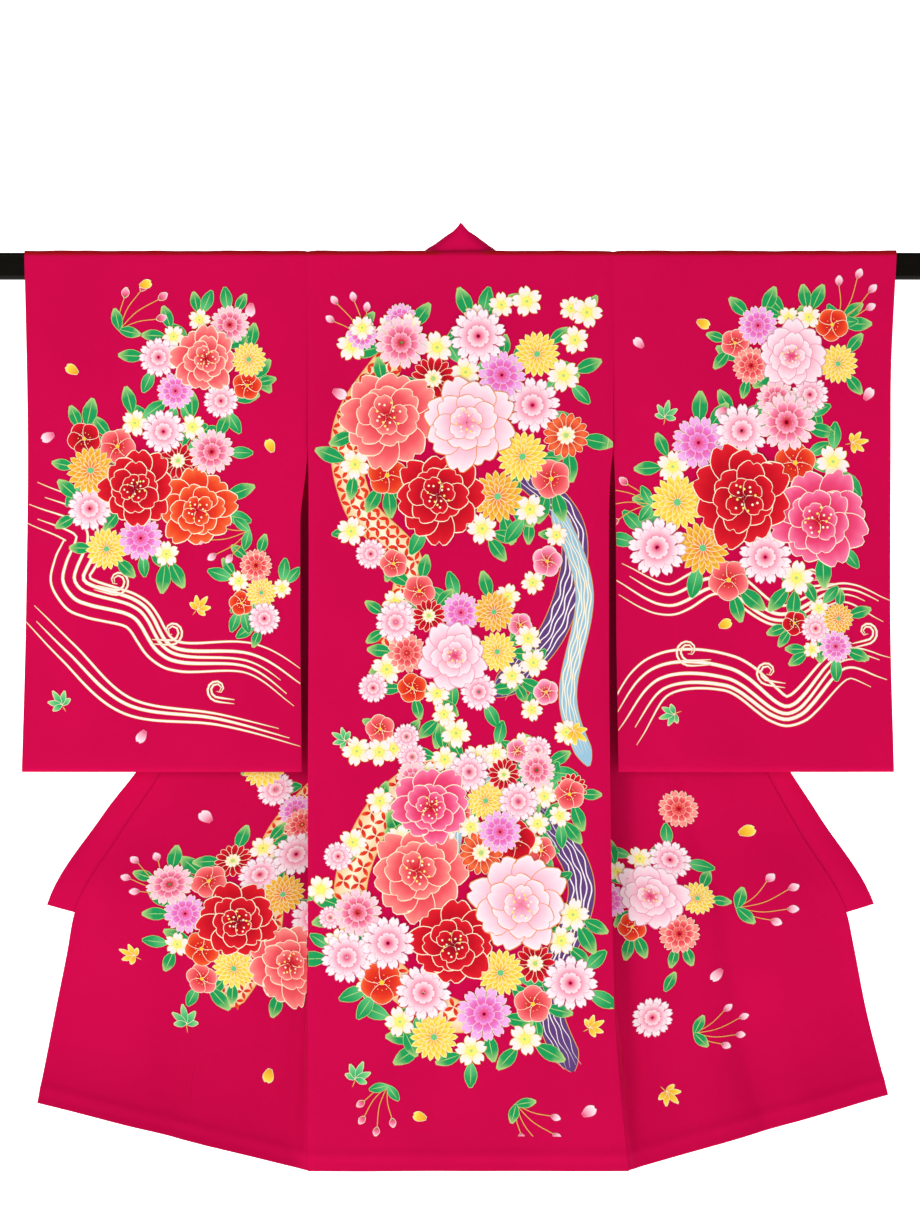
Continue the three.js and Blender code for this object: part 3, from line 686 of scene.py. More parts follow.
# %% [markdown]
# The rail is a bar of lacquered wood with softly rounded long edges and plain ends. A cube is scaled
# to size and its long edges are bevelled; the short edges at the ends get a small bevel of their own.

# %% The rail
def round_edges(bm, edges, offset, segments):
    bmesh.ops.bevel(bm, geom=edges, offset=offset * MM, segments=segments, profile=0.5, affect="EDGES",
                    material=-1)


def make_rail():
    bm = bmesh.new()
    bmesh.ops.create_cube(bm, size=1)
    bmesh.ops.scale(bm, vec=Vector((RAIL_LENGTH, RAIL_DEPTH, RAIL_HEIGHT)) * MM, verts=bm.verts)
    round_edges(bm, [e for e in bm.edges if abs(e.verts[0].co.x - e.verts[1].co.x) > 0.1], RAIL_CORNER, 6)
    round_edges(bm, [e for e in bm.edges if abs(e.verts[0].co.x - e.verts[1].co.x) < 1e-6], 0.8, 2)
    bmesh.ops.recalc_face_normals(bm, faces=bm.faces)
    for face in bm.faces:
        face.smooth = face.calc_area() < 0.02
    piece = add_piece(to_mesh(bm, "lacquered_rail"), "black_lacquer", lacquer)
    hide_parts("rail")
    return piece


rail = make_rail()
print("rail faces", len(rail.data.polygons))

# %% [markdown]
# The dyer paints each flower petal by petal, darker at its heart, and draws a fine pale or gold line
# round it. Here a petal is a small bmesh grid bent to shape, in flat millimetres of cloth. Its third
# measure is a tiny lift, so that each petal lies over the one before. Colours go into an attribute.

# %% Dyes
DYES = {
    "white": linear(245, 234, 238), "blush": linear(250, 206, 219), "pink": linear(244, 130, 168),
    "rose": linear(232, 70, 120), "orchid": linear(228, 120, 205), "lilac": linear(240, 178, 232),
    "coral": linear(240, 92, 100), "salmon": linear(248, 150, 140), "vermilion": linear(228, 58, 30),
    "orange": linear(240, 110, 60), "crimson": linear(200, 14, 34), "wine": linear(150, 6, 30),
    "lemon": linear(252, 236, 110), "yellow": linear(246, 204, 60), "amber": linear(232, 160, 40),
    "leaf": linear(28, 152, 84), "jade": linear(100, 198, 126), "lime": linear(176, 212, 128),
    "peach": linear(240, 190, 130), "gold": linear(226, 168, 84), "cream": linear(252, 238, 208),
    "sky": linear(150, 192, 214), "violet": linear(96, 62, 120), "rust": linear(232, 140, 70),
    "scarlet": linear(222, 30, 44), "shade": linear(236, 150, 176),
}
FLOWER_DYES = {  # heart, middle, tip, line
    "snow": ("pink", "blush", "white", "rust"), "shell": ("rose", "blush", "white", "shade"),
    "pink": ("crimson", "pink", "blush", "cream"), "orchid": ("rose", "orchid", "lilac", "cream"),
    "coral": ("crimson", "coral", "salmon", "cream"), "rosy": ("crimson", "rose", "pink", "cream"),
    "flame": ("crimson", "vermilion", "orange", "cream"), "lemon": ("amber", "yellow", "lemon", "cream"),
    "cream": ("lemon", "white", "white", "yellow"), "gold": ("orange", "amber", "yellow", "cream"),
    "green": ("leaf", "jade", "lime", "cream"), "amber": ("amber", "yellow", "lemon", "cream"),
    "red": ("wine", "crimson", "scarlet", "cream"), "fire": ("crimson", "orange", "vermilion", "cream"),
}
STEP = 0.02  # between one petal and the next over it
GAP = 0.05  # between one flower and the next over it
LEAF_ROOM = 0.22  # kept free under the flowers, for the leaves
RIBBON_ROOM = 0.14  # kept free under a ribbon that crosses another
PRINT_LIFT = 0.14


def blend(a, b, t):
    return tuple(x * (1 - t) + y * t for x, y in zip(a, b))


class Print:
    """The flat print of one panel: a bmesh in across, down and lift, with a dye on each point."""

    def __init__(self, panel):
        self.panel = panel
        self.whole = bmesh.new()
        self.layers = []
        self.ground = 0
        self.spot = None
        self.new_motif()

    def new_motif(self):
        self.bm = bmesh.new()
        self.dye = self.bm.verts.layers.float_color.new("dye")
        self.lift = 0

    def fit(self, high):
        """The lowest free level for a motif of this height at its spot, over or under what is there."""
        a, d, reach, leafy = self.spot
        low = self.ground if leafy else self.ground + LEAF_ROOM
        near = sorted(layer[3:] for layer in self.layers
                      if math.hypot(layer[0] - a, layer[1] - d) < 0.92 * (layer[2] + reach))
        for bottom, top in near:
            if low < top + GAP and bottom < low + high + GAP:
                low = top + GAP
        if leafy:
            low = min(low, self.ground + LEAF_ROOM - high)
        self.layers.append((a, d, reach, low, low + high))
        return low

    def add_motif(self, low=0):
        """Adds the motif just drawn to the whole print, which is quicker than growing one large mesh."""
        if self.bm.verts:
            high = max(v.co.z for v in self.bm.verts)
            if self.spot:
                low = self.fit(high)
            else:
                self.ground = max(self.ground, low + high + GAP)
            bmesh.ops.translate(self.bm, vec=(0, 0, low), verts=self.bm.verts)
            mesh = to_mesh(self.bm, "motif")
            self.whole.from_mesh(mesh)
            bpy.data.meshes.remove(mesh)
        else:
            self.bm.free()
        self.new_motif()

    def start(self, a, d, reach, leafy=False):
        self.add_motif()
        self.spot = (a, d, reach, leafy)

    def grid(self, nx, ny, shape, colour):
        """A grid bent by shape(w, t) to across, down, and dyed by colour(w, t), w and t from -1 or 0 to 1."""
        made = bmesh.ops.create_grid(self.bm, x_segments=nx, y_segments=ny, size=1)
        for v in made["verts"]:
            w, t = v.co.x, (v.co.y + 1) / 2
            a, d = shape(w, t)
            v.co = (a, d, self.lift)
            v[self.dye] = colour(w, t)

    def petal(self, a, d, turn, start, length, half, dyes, notch=0.0, point=False, line=0.0, cells=(4, 4)):
        """A petal that starts off the flower's middle and widens to a round, notched or pointed tip."""
        heart, middle, tip, edge = (DYES[name] for name in dyes)
        co, si = math.cos(turn), math.sin(turn)

        def bent(grow):
            def shape(w, t):
                along = start - grow + (length + 2 * grow) * t
                if point:
                    broad = math.sin(math.pi * (0.06 + 0.88 * t))
                else:
                    broad = math.sin(math.pi / 2 * min(1, 0.2 + t * 1.25))
                    broad *= 1 - 0.3 * max(0, (t - 0.65) / 0.35) ** 2
                    along -= length * t * t * (0.17 * w * w + notch * math.exp(-((w / 0.3) ** 2)))
                side = w * (half * broad + grow)
                return a + side * co + along * si, d - along * co + side * si
            return shape

        if line:
            self.grid(*cells, bent(line), lambda w, t: edge)
            self.lift += STEP

        def colour(w, t):
            t = t * (0.86 + 0.2 * w * w)
            return blend(heart, middle, t / 0.62) if t < 0.62 else blend(middle, tip, min(1, (t - 0.62) / 0.3))

        self.grid(*cells, bent(0), colour)
        self.lift += STEP

    def ring(self, a, d, turn, count, start, length, half, dyes, uneven=0.0, **options):
        """Petals round a middle. Those that touch lie on different levels."""
        base = self.lift
        levels = [k % 3 for k in range(count - 2)] + [3, 4]
        for k in range(count):
            self.lift = base + 2 * STEP * levels[k]
            grow = 1 + uneven * math.sin(2.3 * k + 5 * turn)
            self.petal(a, d, turn + 2 * math.pi * (k + uneven * math.sin(1.7 * k)) / count, start, length * grow,
                       half * (2 - grow), dyes, **options)
        self.lift = base + 2 * STEP * 5

    def dots(self, a, d, turn, count, reach, radius, dye):
        """Small round anthers in a ring."""
        for k in range(count):
            t = turn + k * 2 * math.pi / count
            self.dot(a + reach * math.cos(t), d + reach * math.sin(t), radius, dye, 5)

    def dot(self, a, d, radius, dye, sides):
        made = bmesh.ops.create_circle(self.bm, cap_ends=True, cap_tris=False, segments=sides, radius=radius)
        for v in made["verts"]:
            v.co = (a + v.co.x, d + v.co.y, self.lift)
            v[self.dye] = DYES[dye]

    def stroke(self, points, width, dyes, line=0.0, taper=0.35, cells=2):
        """A painted stroke through points, of a width that thins toward both ends."""
        path = smooth_path(points)
        step = np.gradient(path, axis=0)
        step /= np.maximum(np.linalg.norm(step, axis=1, keepdims=True), 1e-9)
        last = len(path) - 1

        def bent(grow):
            def shape(w, t):
                k = min(last, round(t * last))
                thin = min(1, t / taper, (1 - t) / taper) ** 0.6 if taper else 1
                off = w * (width / 2 * max(thin, 0.12) + grow)
                return path[k, 0] - off * step[k, 1], path[k, 1] + off * step[k, 0]
            return shape

        edge, middle = DYES[dyes[0]], DYES[dyes[1]]
        if line:
            self.grid(cells, last, bent(line), lambda w, t: DYES[dyes[2]])
            self.lift += STEP
        self.grid(cells, last, bent(0), lambda w, t: blend(middle, edge, abs(w)))
        self.lift += STEP


def smooth_path(points, spacing=5.0):
    """A round curve through a few points, evenly stepped."""
    points = np.array(points, float)
    ends = np.concatenate([[2 * points[0] - points[1]], points, [2 * points[-1] - points[-2]]])
    curve = []
    for k in range(len(points) - 1):
        p0, p1, p2, p3 = ends[k:k + 4]
        for t in np.linspace(0, 1, 24, endpoint=False):
            curve.append(0.5 * (2 * p1 + (p2 - p0) * t + (2 * p0 - 5 * p1 + 4 * p2 - p3) * t * t
                                + (3 * p1 - p0 - 3 * p2 + p3) * t ** 3))
    curve = np.array(curve + [points[-1]])
    length = lengths(curve)
    return at_places(np.linspace(0, length[-1], max(6, int(length[-1] / spacing))), length, curve)


# %% [markdown]
# These are the ordinary flowers of a girl's kimono: peony, double cherry, single cherry, plum,
# chrysanthemum and maple, with leaves, buds and fallen petals. They are drawn here from how such
# flowers grow, with the petals of one flower in rings, and none is taken from a particular kimono.

# %% Flowers and leaves
def peony(p, a, d, r, turn, dyes):
    """Three loose rings of uneven notched petals, the inner ones off to one side, and a tuft of stamens."""
    p.ring(a, d, turn, 8, 0.14 * r, 0.86 * r, 0.35 * r, dyes, notch=0.15, line=0.9, cells=(6, 6), uneven=0.1)
    a, d = a + 0.07 * r * math.sin(turn), d - 0.07 * r * math.cos(turn)
    p.ring(a, d, turn + 0.4, 6, 0.08 * r, 0.58 * r, 0.3 * r, dyes, notch=0.14, line=0.8, cells=(6, 5),
           uneven=0.12)
    p.ring(a, d, turn + 2.1, 4, 0.03 * r, 0.36 * r, 0.2 * r, dyes, notch=0.12, line=0.6, cells=(4, 4),
           uneven=0.1)
    base = p.lift
    for k in range(15):
        t = turn + k * 2.4
        reach = r * (0.15 + 0.06 * (k % 3))
        tip = (a + reach * math.cos(t), d + reach * math.sin(t))
        p.lift = base
        p.stroke([(a, d), tip], 0.6, (dyes[0], dyes[0]), taper=0, cells=1)
        p.dot(*tip, 0.022 * r + 0.2, "lemon" if k % 2 else "cream", 6)


def double_cherry(p, a, d, r, turn, dyes):
    outer = (dyes[1], dyes[2], dyes[2], dyes[3])
    p.ring(a, d, turn, 12, 0.5 * r, 0.5 * r, 0.18 * r, outer, notch=0.24, line=0.5, cells=(4, 3))
    p.ring(a, d, turn + 0.2, 10, 0.25 * r, 0.5 * r, 0.17 * r, dyes, notch=0.2, line=0.45, cells=(4, 3))
    p.ring(a, d, turn, 8, 0.06 * r, 0.38 * r, 0.13 * r, dyes, notch=0.15, cells=(2, 3))
    p.dots(a, d, turn, 9, 0.2 * r, 0.5, "yellow")


def single_cherry(p, a, d, r, turn, dyes):
    p.ring(a, d, turn, 5, 0.1 * r, 0.9 * r, 0.35 * r, dyes, notch=0.26, line=0.45, cells=(4, 5))
    p.dot(a, d, 0.3 * r, "lemon", 12)
    p.lift += STEP
    p.dot(a, d, 0.1 * r, "lime", 7)
    p.dots(a, d, turn, 9, 0.3 * r, 0.5, "yellow")


def plum(p, a, d, r, turn, dyes):
    p.ring(a, d, turn, 5, 0.1 * r, 0.9 * r, 0.52 * r, dyes, line=0.5, cells=(4, 4))
    p.dot(a, d, 0.12 * r, "yellow", 8)
    p.lift += STEP
    p.dots(a, d, turn, 11, 0.36 * r, 0.55, "lemon")


def chrysanthemum(p, a, d, r, turn, dyes):
    for share, count, shift in ((1.0, 18, 0), (0.74, 15, 0.15), (0.5, 12, 0.3)):
        p.ring(a, d, turn + shift, count, 0.25 * share * r, 0.75 * share * r, 0.13 * share * r, dyes,
               line=0.4, cells=(2, 3))
    p.dot(a, d, 0.13 * r, "jade", 9)


def daisy(p, a, d, r, turn, dyes):
    """A round chrysanthemum with one ring of broad petals and a pale heart."""
    p.ring(a, d, turn, 15, 0.3 * r, 0.7 * r, 0.17 * r, dyes, line=0.45, cells=(3, 3))
    p.ring(a, d, turn, 10, 0.08 * r, 0.34 * r, 0.11 * r, FLOWER_DYES["cream"], line=0.35, cells=(2, 2))
    p.dot(a, d, 0.12 * r, "lime", 8)


def maple(p, a, d, r, turn, dyes):
    for k, reach in enumerate((0.62, 0.85, 1.0, 0.85, 0.62)):
        p.petal(a, d, turn + (k - 2) * 0.78, 0, reach * r, 0.17 * r, dyes, point=True, line=0.4, cells=(2, 4))
    tip = (a - 0.5 * r * math.sin(turn), d + 0.5 * r * math.cos(turn))
    p.stroke([(a, d), tip], 1.2, ("gold", "gold"), cells=1)


def leaf(p, a, d, r, turn, dyes=None):
    dyes = ("leaf", "leaf", "lime", "lime") if int(a + d) % 3 else ("jade", "leaf", "leaf", "lime")
    p.petal(a, d, turn, 0, r, 0.25 * r, dyes, point=True, line=0.5, cells=(4, 5))
    reach = 0.9 * r
    end = (a + reach * math.sin(turn), d - reach * math.cos(turn))
    p.stroke([(a, d), end], 0.8, ("lime", "lime"), cells=1)


def fallen_petal(p, a, d, r, turn, dyes):
    p.petal(a, d, turn, 0, 1.45 * r, 0.5 * r, dyes, notch=0.12, line=0.4, cells=(4, 5))


def bud_spray(p, a, d, r, turn, dyes):
    """A stem that forks to a few buds, with a pair of leaves at its foot."""
    for k, spread in enumerate((-0.5, -0.12, 0.28, 0.62)):
        t = turn + spread
        reach = r * (0.78, 1.0, 0.9, 0.66)[k]
        tip = (a + reach * math.sin(t), d - reach * math.cos(t))
        bend = (a + 0.5 * reach * math.sin(t + 0.14), d - 0.5 * reach * math.cos(t + 0.14))
        p.stroke([(a, d), bend, tip], 1.0, ("gold", "amber"), taper=0, cells=1)
        p.petal(*tip, t, -1.0, 0.2 * r, 0.075 * r, dyes, point=True, line=0.4, cells=(2, 4))
        p.dot(*tip, 0.9, "leaf", 6)
    for spread in (-1.0, 1.0):
        leaf(p, a, d, 0.42 * r, turn + spread)


FLOWERS = {  # what draws it, its size beside a peony, its usual dyes
    "peony": (peony, 1.0, "red"), "double": (double_cherry, 0.55, "shell"),
    "mum": (chrysanthemum, 0.52, "lemon"),
    "daisy": (daisy, 0.44, "red"), "plum": (plum, 0.42, "coral"), "cherry": (single_cherry, 0.34, "cream"),
    "maple": (maple, 1.0, "amber"), "leaf": (leaf, 1.0, "green"), "petal": (fallen_petal, 1.0, "shell"),
    "buds": (bud_spray, 1.0, "shell"),
}


def draw(p, word, a, d, r, turn):
    """A motif named as kind.dyes, or as its kind alone in its usual dyes."""
    kind, _, dyes = word.partition(".")
    flower, _, usual = FLOWERS[kind]
    p.start(a, d, r * (0.5 if kind == "leaf" else 0.95), kind == "leaf")
    flower(p, a, d, r, turn, FLOWER_DYES[dyes or usual])


# %% [markdown]
# Flowers on such a kimono are gathered in bouquets that spill over each other, joined by garlands of
# small blossom, plain ribbons and streams of water. A bouquet is packed one by one: the large
# flowers first, each next one as close to the middle as it fits, then leaves looking out from behind.

# %% Bouquets, garlands, ribbons and streams
def bouquet(p, a, d, wide, tall, large, flowers, seed):
    """Packs flowers into an oval, the first ones in its middle, with leaves round them."""
    rng = random.Random(seed)
    placed = []
    for word in flowers.split():
        r = large * FLOWERS[word.partition(".")[0]][1] * rng.uniform(0.9, 1.08)
        best = None
        for _ in range(160):
            t, out = rng.uniform(0, 2 * math.pi), math.sqrt(rng.random())
            x, y = a + wide * out * math.cos(t), d + tall * out * math.sin(t)
            free = all(math.hypot(x - px, y - py) > 0.8 * (r + pr) for px, py, pr, _ in placed)
            far = math.hypot((x - a) / wide, (y - d) / tall)
            if free and (best is None or far < best[0]):
                best = (far, x, y)
        if best:
            placed.append((best[1], best[2], r, word))
    for x, y, r, _ in placed:
        away = math.atan2(x - a, -(y - d)) if math.hypot(x - a, y - d) > 1 else rng.uniform(0, 6)
        for spread in rng.sample((-1.1, -0.5, 0.1, 0.7, 1.3), 2):
            t = away + spread
            draw(p, "leaf", x + 0.75 * r * math.sin(t), y - 0.75 * r * math.cos(t),
                 rng.uniform(24, 34) * (large / 50) ** 0.5, t)
    for x, y, r, word in sorted(placed, key=lambda spot: spot[2]):
        draw(p, word, x, y, r, rng.uniform(0, 6))


def garland(p, points, flowers, r, seed):
    """Small blossoms strewn along a path, with leaves between them."""
    rng = random.Random(seed)
    path = smooth_path(points, spacing=1.55 * r)
    words = flowers.split()
    spots = [(x + rng.uniform(-0.7, 0.7) * r, y + rng.uniform(-0.7, 0.7) * r) for x, y in path]
    for x, y in spots[::2]:
        draw(p, "leaf", x, y, 1.3 * r, rng.uniform(0, 6))
    for k, (x, y) in enumerate(spots):
        draw(p, words[k % len(words)], x, y, r * rng.uniform(0.82, 1.12), rng.uniform(0, 6))


def strew(p, spots):
    for spot in spots:
        draw(p, *spot)


def ribbon(p, kind, points, width, pattern, over=False):
    """A silk ribbon with gold edges: a peach one has the old pattern of linked rings, others wavy lines."""
    path = smooth_path(points)
    middle = "cream" if kind == "peach" else kind
    p.stroke(points, width, (kind, middle, "gold"), line=0.8, taper=0.06, cells=6)
    step = np.gradient(path, axis=0)
    base = p.lift
    if kind != "peach":
        side = np.stack([-step[:, 1], step[:, 0]], axis=1) / np.linalg.norm(step, axis=1, keepdims=True)
        run = np.arange(len(path))[:, None]
        for off in (-0.34, -0.17, 0.0, 0.17, 0.34):
            p.lift = base
            wave = path + side * width * (off + 0.06 * np.sin(run * 0.9 + 9 * off))
            p.stroke(wave[1:-1:3], 1.6, pattern, cells=1)
    else:
        every = max(1, round(width / 10))
        for k in range(every, len(path) - every, every):
            t = math.atan2(step[k, 0], -step[k, 1])
            for off in (-0.25, 0.25):
                x = path[k, 0] + off * width * math.cos(t)
                y = path[k, 1] + off * width * math.sin(t)
                for quarter in range(4):
                    p.lift = base + STEP * (k // every % 2)
                    p.petal(x, y, t + math.pi / 4 + quarter * math.pi / 2, 1, 0.3 * width, 0.07 * width, pattern,
                            point=True, cells=(2, 3))
    p.add_motif(RIBBON_ROOM if over else 0)


def stream(p, points, widths, spread):
    """Flowing water: a few pale lines side by side that part and close again, edged with gold."""
    path = smooth_path(points, spacing=14)
    step = np.gradient(path, axis=0)
    step /= np.linalg.norm(step, axis=1, keepdims=True)
    share = np.linspace(0, 1, len(path))
    base = p.lift
    for k, width in enumerate(widths):
        p.lift = base + 2 * STEP * (k % 2)
        off = (k - (len(widths) - 1) / 2) * spread * (0.85 + 0.3 * np.sin(share * 5.2 + 0.5 * k))
        line = np.stack([path[:, 0] - off * step[:, 1], path[:, 1] + off * step[:, 0]], axis=1)
        cut = slice(k % 2, len(line) - (k % 3))
        p.stroke(line[cut], width, ("cream", "white", "gold"), line=0.4, taper=0.3)
    p.lift = base + 4 * STEP


def curl(p, a, d, r, turn, sign):
    """The curled crest of a small wave: two lines that come out of the water and wind inward."""
    base = p.lift
    for share in (1.0, 0.66):
        points = [(a + share * r * math.sin(turn) - 1.5 * sign * r * math.cos(turn),
                   d - share * r * math.cos(turn) - 1.5 * sign * r * math.sin(turn))]
        for k in range(13):
            t = turn + sign * k * 0.55
            reach = share * r * (1 - 0.066 * k)
            points.append((a + reach * math.sin(t), d - reach * math.cos(t)))
        p.stroke(points[:12 if share < 1 else 14], 2.0, ("cream", "white", "gold"), line=0.35, taper=0.3)
    p.lift = base


# %% [markdown]
# The back carries the main picture. Bouquets in rose, white, coral, yellow and green run down it, tied
# together by garlands of small blossom, with lengths of ribbon showing between them. The ribbons are
# drawn first, since they lie under the flowers. The shoulders and the hem stay almost bare.

# %% The print of the back
RED_RINGS, FLAME_RINGS = ("vermilion", "vermilion", "crimson", "cream"), FLOWER_DYES["flame"]


def print_back(p):
    ribbon(p, "peach", [(-70, 120), (-128, 210), (-118, 300), (-60, 372), (-84, 470)], 34, RED_RINGS)
    ribbon(p, "violet", [(60, 250), (132, 330), (112, 440), (40, 520)], 30, ("white", "lilac"))
    ribbon(p, "sky", [(110, 300), (146, 400), (126, 520), (150, 600)], 20, ("cream", "white"), over=True)
    ribbon(p, "peach", [(-20, 590), (-96, 660), (-126, 760), (-70, 850), (20, 900)], 36, FLAME_RINGS)
    ribbon(p, "violet", [(90, 640), (140, 740), (100, 860), (124, 950)], 30, ("white", "sky"))
    ribbon(p, "sky", [(64, 610), (0, 650), (-20, 720)], 26, ("cream", "white"), over=True)
    for points, flowers, r, seed in (
            ([(-120, 330), (-60, 420), (-104, 520), (-60, 600)], "cherry double plum", 17, 3),
            ([(110, 330), (60, 430), (100, 520), (60, 590)], "cherry plum.pink cherry", 16, 5),
            ([(-118, 586), (-40, 566), (40, 594), (118, 570)], "cherry cherry double cherry", 18, 9),
            ([(-92, 636), (-10, 610), (70, 640), (138, 616)], "cherry double.pink cherry daisy", 18, 12),
            ([(-60, 678), (20, 662), (96, 690)], "cherry cherry plum", 18, 14),
            ([(-130, 680), (-150, 760), (-110, 850)], "cherry double", 16, 6)):
        garland(p, points, flowers, r, seed)
    bouquet(p, 34, 640, 116, 56, 44,
            "mum double peony.rosy double.orchid daisy double cherry cherry plum cherry double.pink cherry "
            "mum.gold cherry cherry plum.flame cherry", 25)
    draw(p, "buds", -112, 112, 52, -0.5)
    garland(p, [(24, 74), (70, 66), (104, 84), (140, 76), (132, 112)], "cherry cherry cherry", 17, 8)
    garland(p, [(-118, 128), (-94, 92), (-60, 100)], "cherry double.orchid cherry", 17, 4)
    draw(p, "buds", 60, 988, 52, 2.4)
    draw(p, "buds.pink", -84, 966, 50, 3.5)
    bouquet(p, 8, 210, 138, 128, 56,
            "peony.snow peony.coral peony mum double.orchid double daisy double mum.gold plum.flame daisy.fire "
            "mum double.pink plum double cherry double.orchid cherry plum.red mum.gold cherry double cherry "
            "plum.pink cherry cherry", 11)
    bouquet(p, -10, 470, 92, 84, 44,
            "peony.shell mum double.coral double.orchid daisy double cherry mum.gold plum.flame cherry double "
            "cherry plum", 21)
    bouquet(p, 2, 800, 142, 132, 56,
            "peony peony.snow peony.coral mum double double.orchid daisy double plum daisy.fire double.pink "
            "plum.flame mum cherry double double cherry plum.red cherry mum.gold double.orchid cherry double "
            "cherry plum.pink", 31)
    strew(p, [("maple.green", -120, 958, 21, 0.4), ("maple", 132, 560, 19, 2.2),
              ("maple.green", -132, 570, 17, 5.2), ("maple", 146, 900, 18, 1.1),
              ("petal", -146, 170, 12, 2.0), ("petal", 132, 1000, 12, 1.0), ("petal.lemon", -40, 1004, 11, 5.0)])

# %% [markdown]
# Each sleeve carries a bouquet, a smaller one, and water that winds across the lower third. The far
# layer of a sleeve is printed too, since it shows when the garment is worn, with the water, the buds
# and the bouquets again, but without the smaller bouquet and the strewn leaves and petals.

# %% The print of the sleeves
SLEEVE_PLANS = {
    "left": {
        "streams": [
            ([(318, 300), (250, 330), (262, 392), (190, 420), (150, 470), (60, 480), (0, 520)],
             (2.4, 3.6, 3.2, 3.6, 2.4), 12),
            ([(318, 424), (270, 470), (200, 530), (96, 546), (0, 572)], (2.4, 3.2, 2.4), 10)],
        "curls": [(214, 388, 16, 2.9, 1), (150, 446, 15, 3.1, 1), (96, 512, 14, 3.0, -1)],
        "buds": [("buds.pink", 214, 100, 58, -0.8, 2.4), ("buds", 60, 330, 54, 1.9, 1.9)],
        "bouquets": [
            (118, 140, 84, 58, 40, "peony.coral double mum double.orchid double plum.flame cherry "
             "double.pink cherry", 41),
            (188, 280, 100, 92, 50, "peony peony.flame daisy mum.gold double double.orchid plum double mum "
             "cherry double.pink cherry plum.red cherry", 43)],
        "near bouquet": (46, 400, 48, 62, 36, "mum double.coral double plum.flame cherry cherry", 47),
        "strewn": [
            ("maple.green", 276, 530, 19, 0.6), ("maple", 120, 420, 18, 5.6), ("petal.lemon", 262, 150, 11, 1),
            ("petal", 64, 70, 11, 3), ("petal.lemon", 190, 50, 10, 5), ("petal", 290, 220, 11, 2),
            ("petal.lemon", 40, 240, 11, 0.4), ("petal", 180, 560, 11, 2.6)],
    },
    "right": {
        "streams": [
            ([(0, 380), (60, 410), (120, 390), (190, 430), (262, 400), (318, 420)], (2.4, 3.4, 3.2, 2.4), 11),
            ([(0, 560), (50, 500), (130, 500), (200, 540), (262, 480), (318, 490)],
             (2.6, 3.6, 3.4, 3.6, 2.4), 12)],
        "curls": [(84, 468, 17, 3.1, 1), (176, 492, 15, 3.3, 1), (230, 384, 15, 3.0, 1),
                  (292, 446, 14, 2.9, -1)],
        "buds": [("buds", 256, 92, 56, 0.5, 3.4), ("buds.pink", 42, 300, 56, -1.5, -1.5)],
        "bouquets": [
            (210, 130, 88, 60, 42, "peony.shell double.coral mum double.orchid plum.flame double double.pink "
             "cherry cherry plum", 51),
            (150, 296, 120, 104, 60, "peony peony.rosy mum double mum.gold double.orchid plum.flame double "
             "double plum cherry double.pink cherry cherry", 53)],
        "near bouquet": (236, 440, 60, 44, 34, "double mum.gold plum.red cherry double.orchid cherry", 57),
        "strewn": [
            ("maple.green", 60, 200, 19, 0.2), ("maple", 276, 230, 18, 1.4), ("maple.green", 66, 540, 18, 4.4),
            ("petal.lemon", 96, 90, 11, 2), ("petal", 130, 190, 11, 4), ("petal", 290, 180, 11, 0.6),
            ("petal", 34, 120, 10, 5.5), ("petal.lemon", 120, 440, 11, 1.2)],
    },
}


def print_sleeve(p, plan, near=True):
    """One layer of a sleeve. The far one is measured from the other end of the length."""
    def at(d):
        return d if near else p.panel.down[-1] - d

    for points, widths, spread in plan["streams"]:
        stream(p, [(a, at(d)) for a, d in points], widths, spread)
    for a, d, r, turn, sign in plan["curls"]:
        curl(p, a, at(d), r, turn, sign)
    for word, a, d, r, turn, far_turn in plan["buds"]:
        draw(p, word, a, at(d), r, turn if near else far_turn)
    for a, d, *rest in plan["bouquets"]:
        bouquet(p, a, at(d), *rest)
    if near:
        bouquet(p, *plan["near bouquet"])
        strew(p, plan["strewn"])

# %% [markdown]
# The bouquets of the back spill a little onto the fronts beyond the side seams. The overlap panels
# and the hem stay plain but for a few petals, as on the real garment.

# %% The print of the fronts
def print_left_front(p):
    ribbon(p, "peach", [(60, 600), (104, 690), (80, 800), (120, 900)], 30, FLAME_RINGS)
    draw(p, "buds", 196, 770, 56, 1.2)
    garland(p, [(156, 606), (120, 640), (84, 690)], "double.coral mum double double.orchid", 22, 7)
    bouquet(p, 108, 790, 108, 104, 47, "peony peony.coral mum.gold double double.orchid mum plum.flame "
            "double plum daisy double cherry double.pink cherry plum", 61)
    strew(p, [("maple.green", 160, 930, 23, 0.3), ("petal", 184, 680, 13, 1), ("petal.lemon", 60, 960, 12, 3),
              ("maple", 226, 860, 18, 1.3)])


def print_right_front(p):
    draw(p, "buds", 178, 790, 64, 1.5)
    draw(p, "buds", 110, 930, 54, 1.6)
    bouquet(p, 92, 760, 70, 66, 42, "peony.shell mum double.coral double plum.flame double.orchid cherry "
            "cherry", 71)
    strew(p, [("double.coral", 150, 660, 23, 1), ("petal.lemon", 210, 700, 14, 1.4), ("double", 66, 900, 24, 2),
              ("maple", 66, 990, 19, 2.6), ("petal", 150, 860, 12, 4), ("leaf", 84, 872, 24, 0.6)])

# %% [markdown]
# A finished print is cut at its panel's edges with a bisecting plane, then every point is carried
# onto the cloth. The faces are turned to look outward and share the silk's grain map.

# %% Laying the prints on the silk
def cut(bm, place, way, clear=False):
    geom = list(bm.verts) + list(bm.edges) + list(bm.faces)
    bmesh.ops.bisect_plane(bm, geom=geom, dist=1e-5, plane_co=place, plane_no=way, clear_outer=clear)


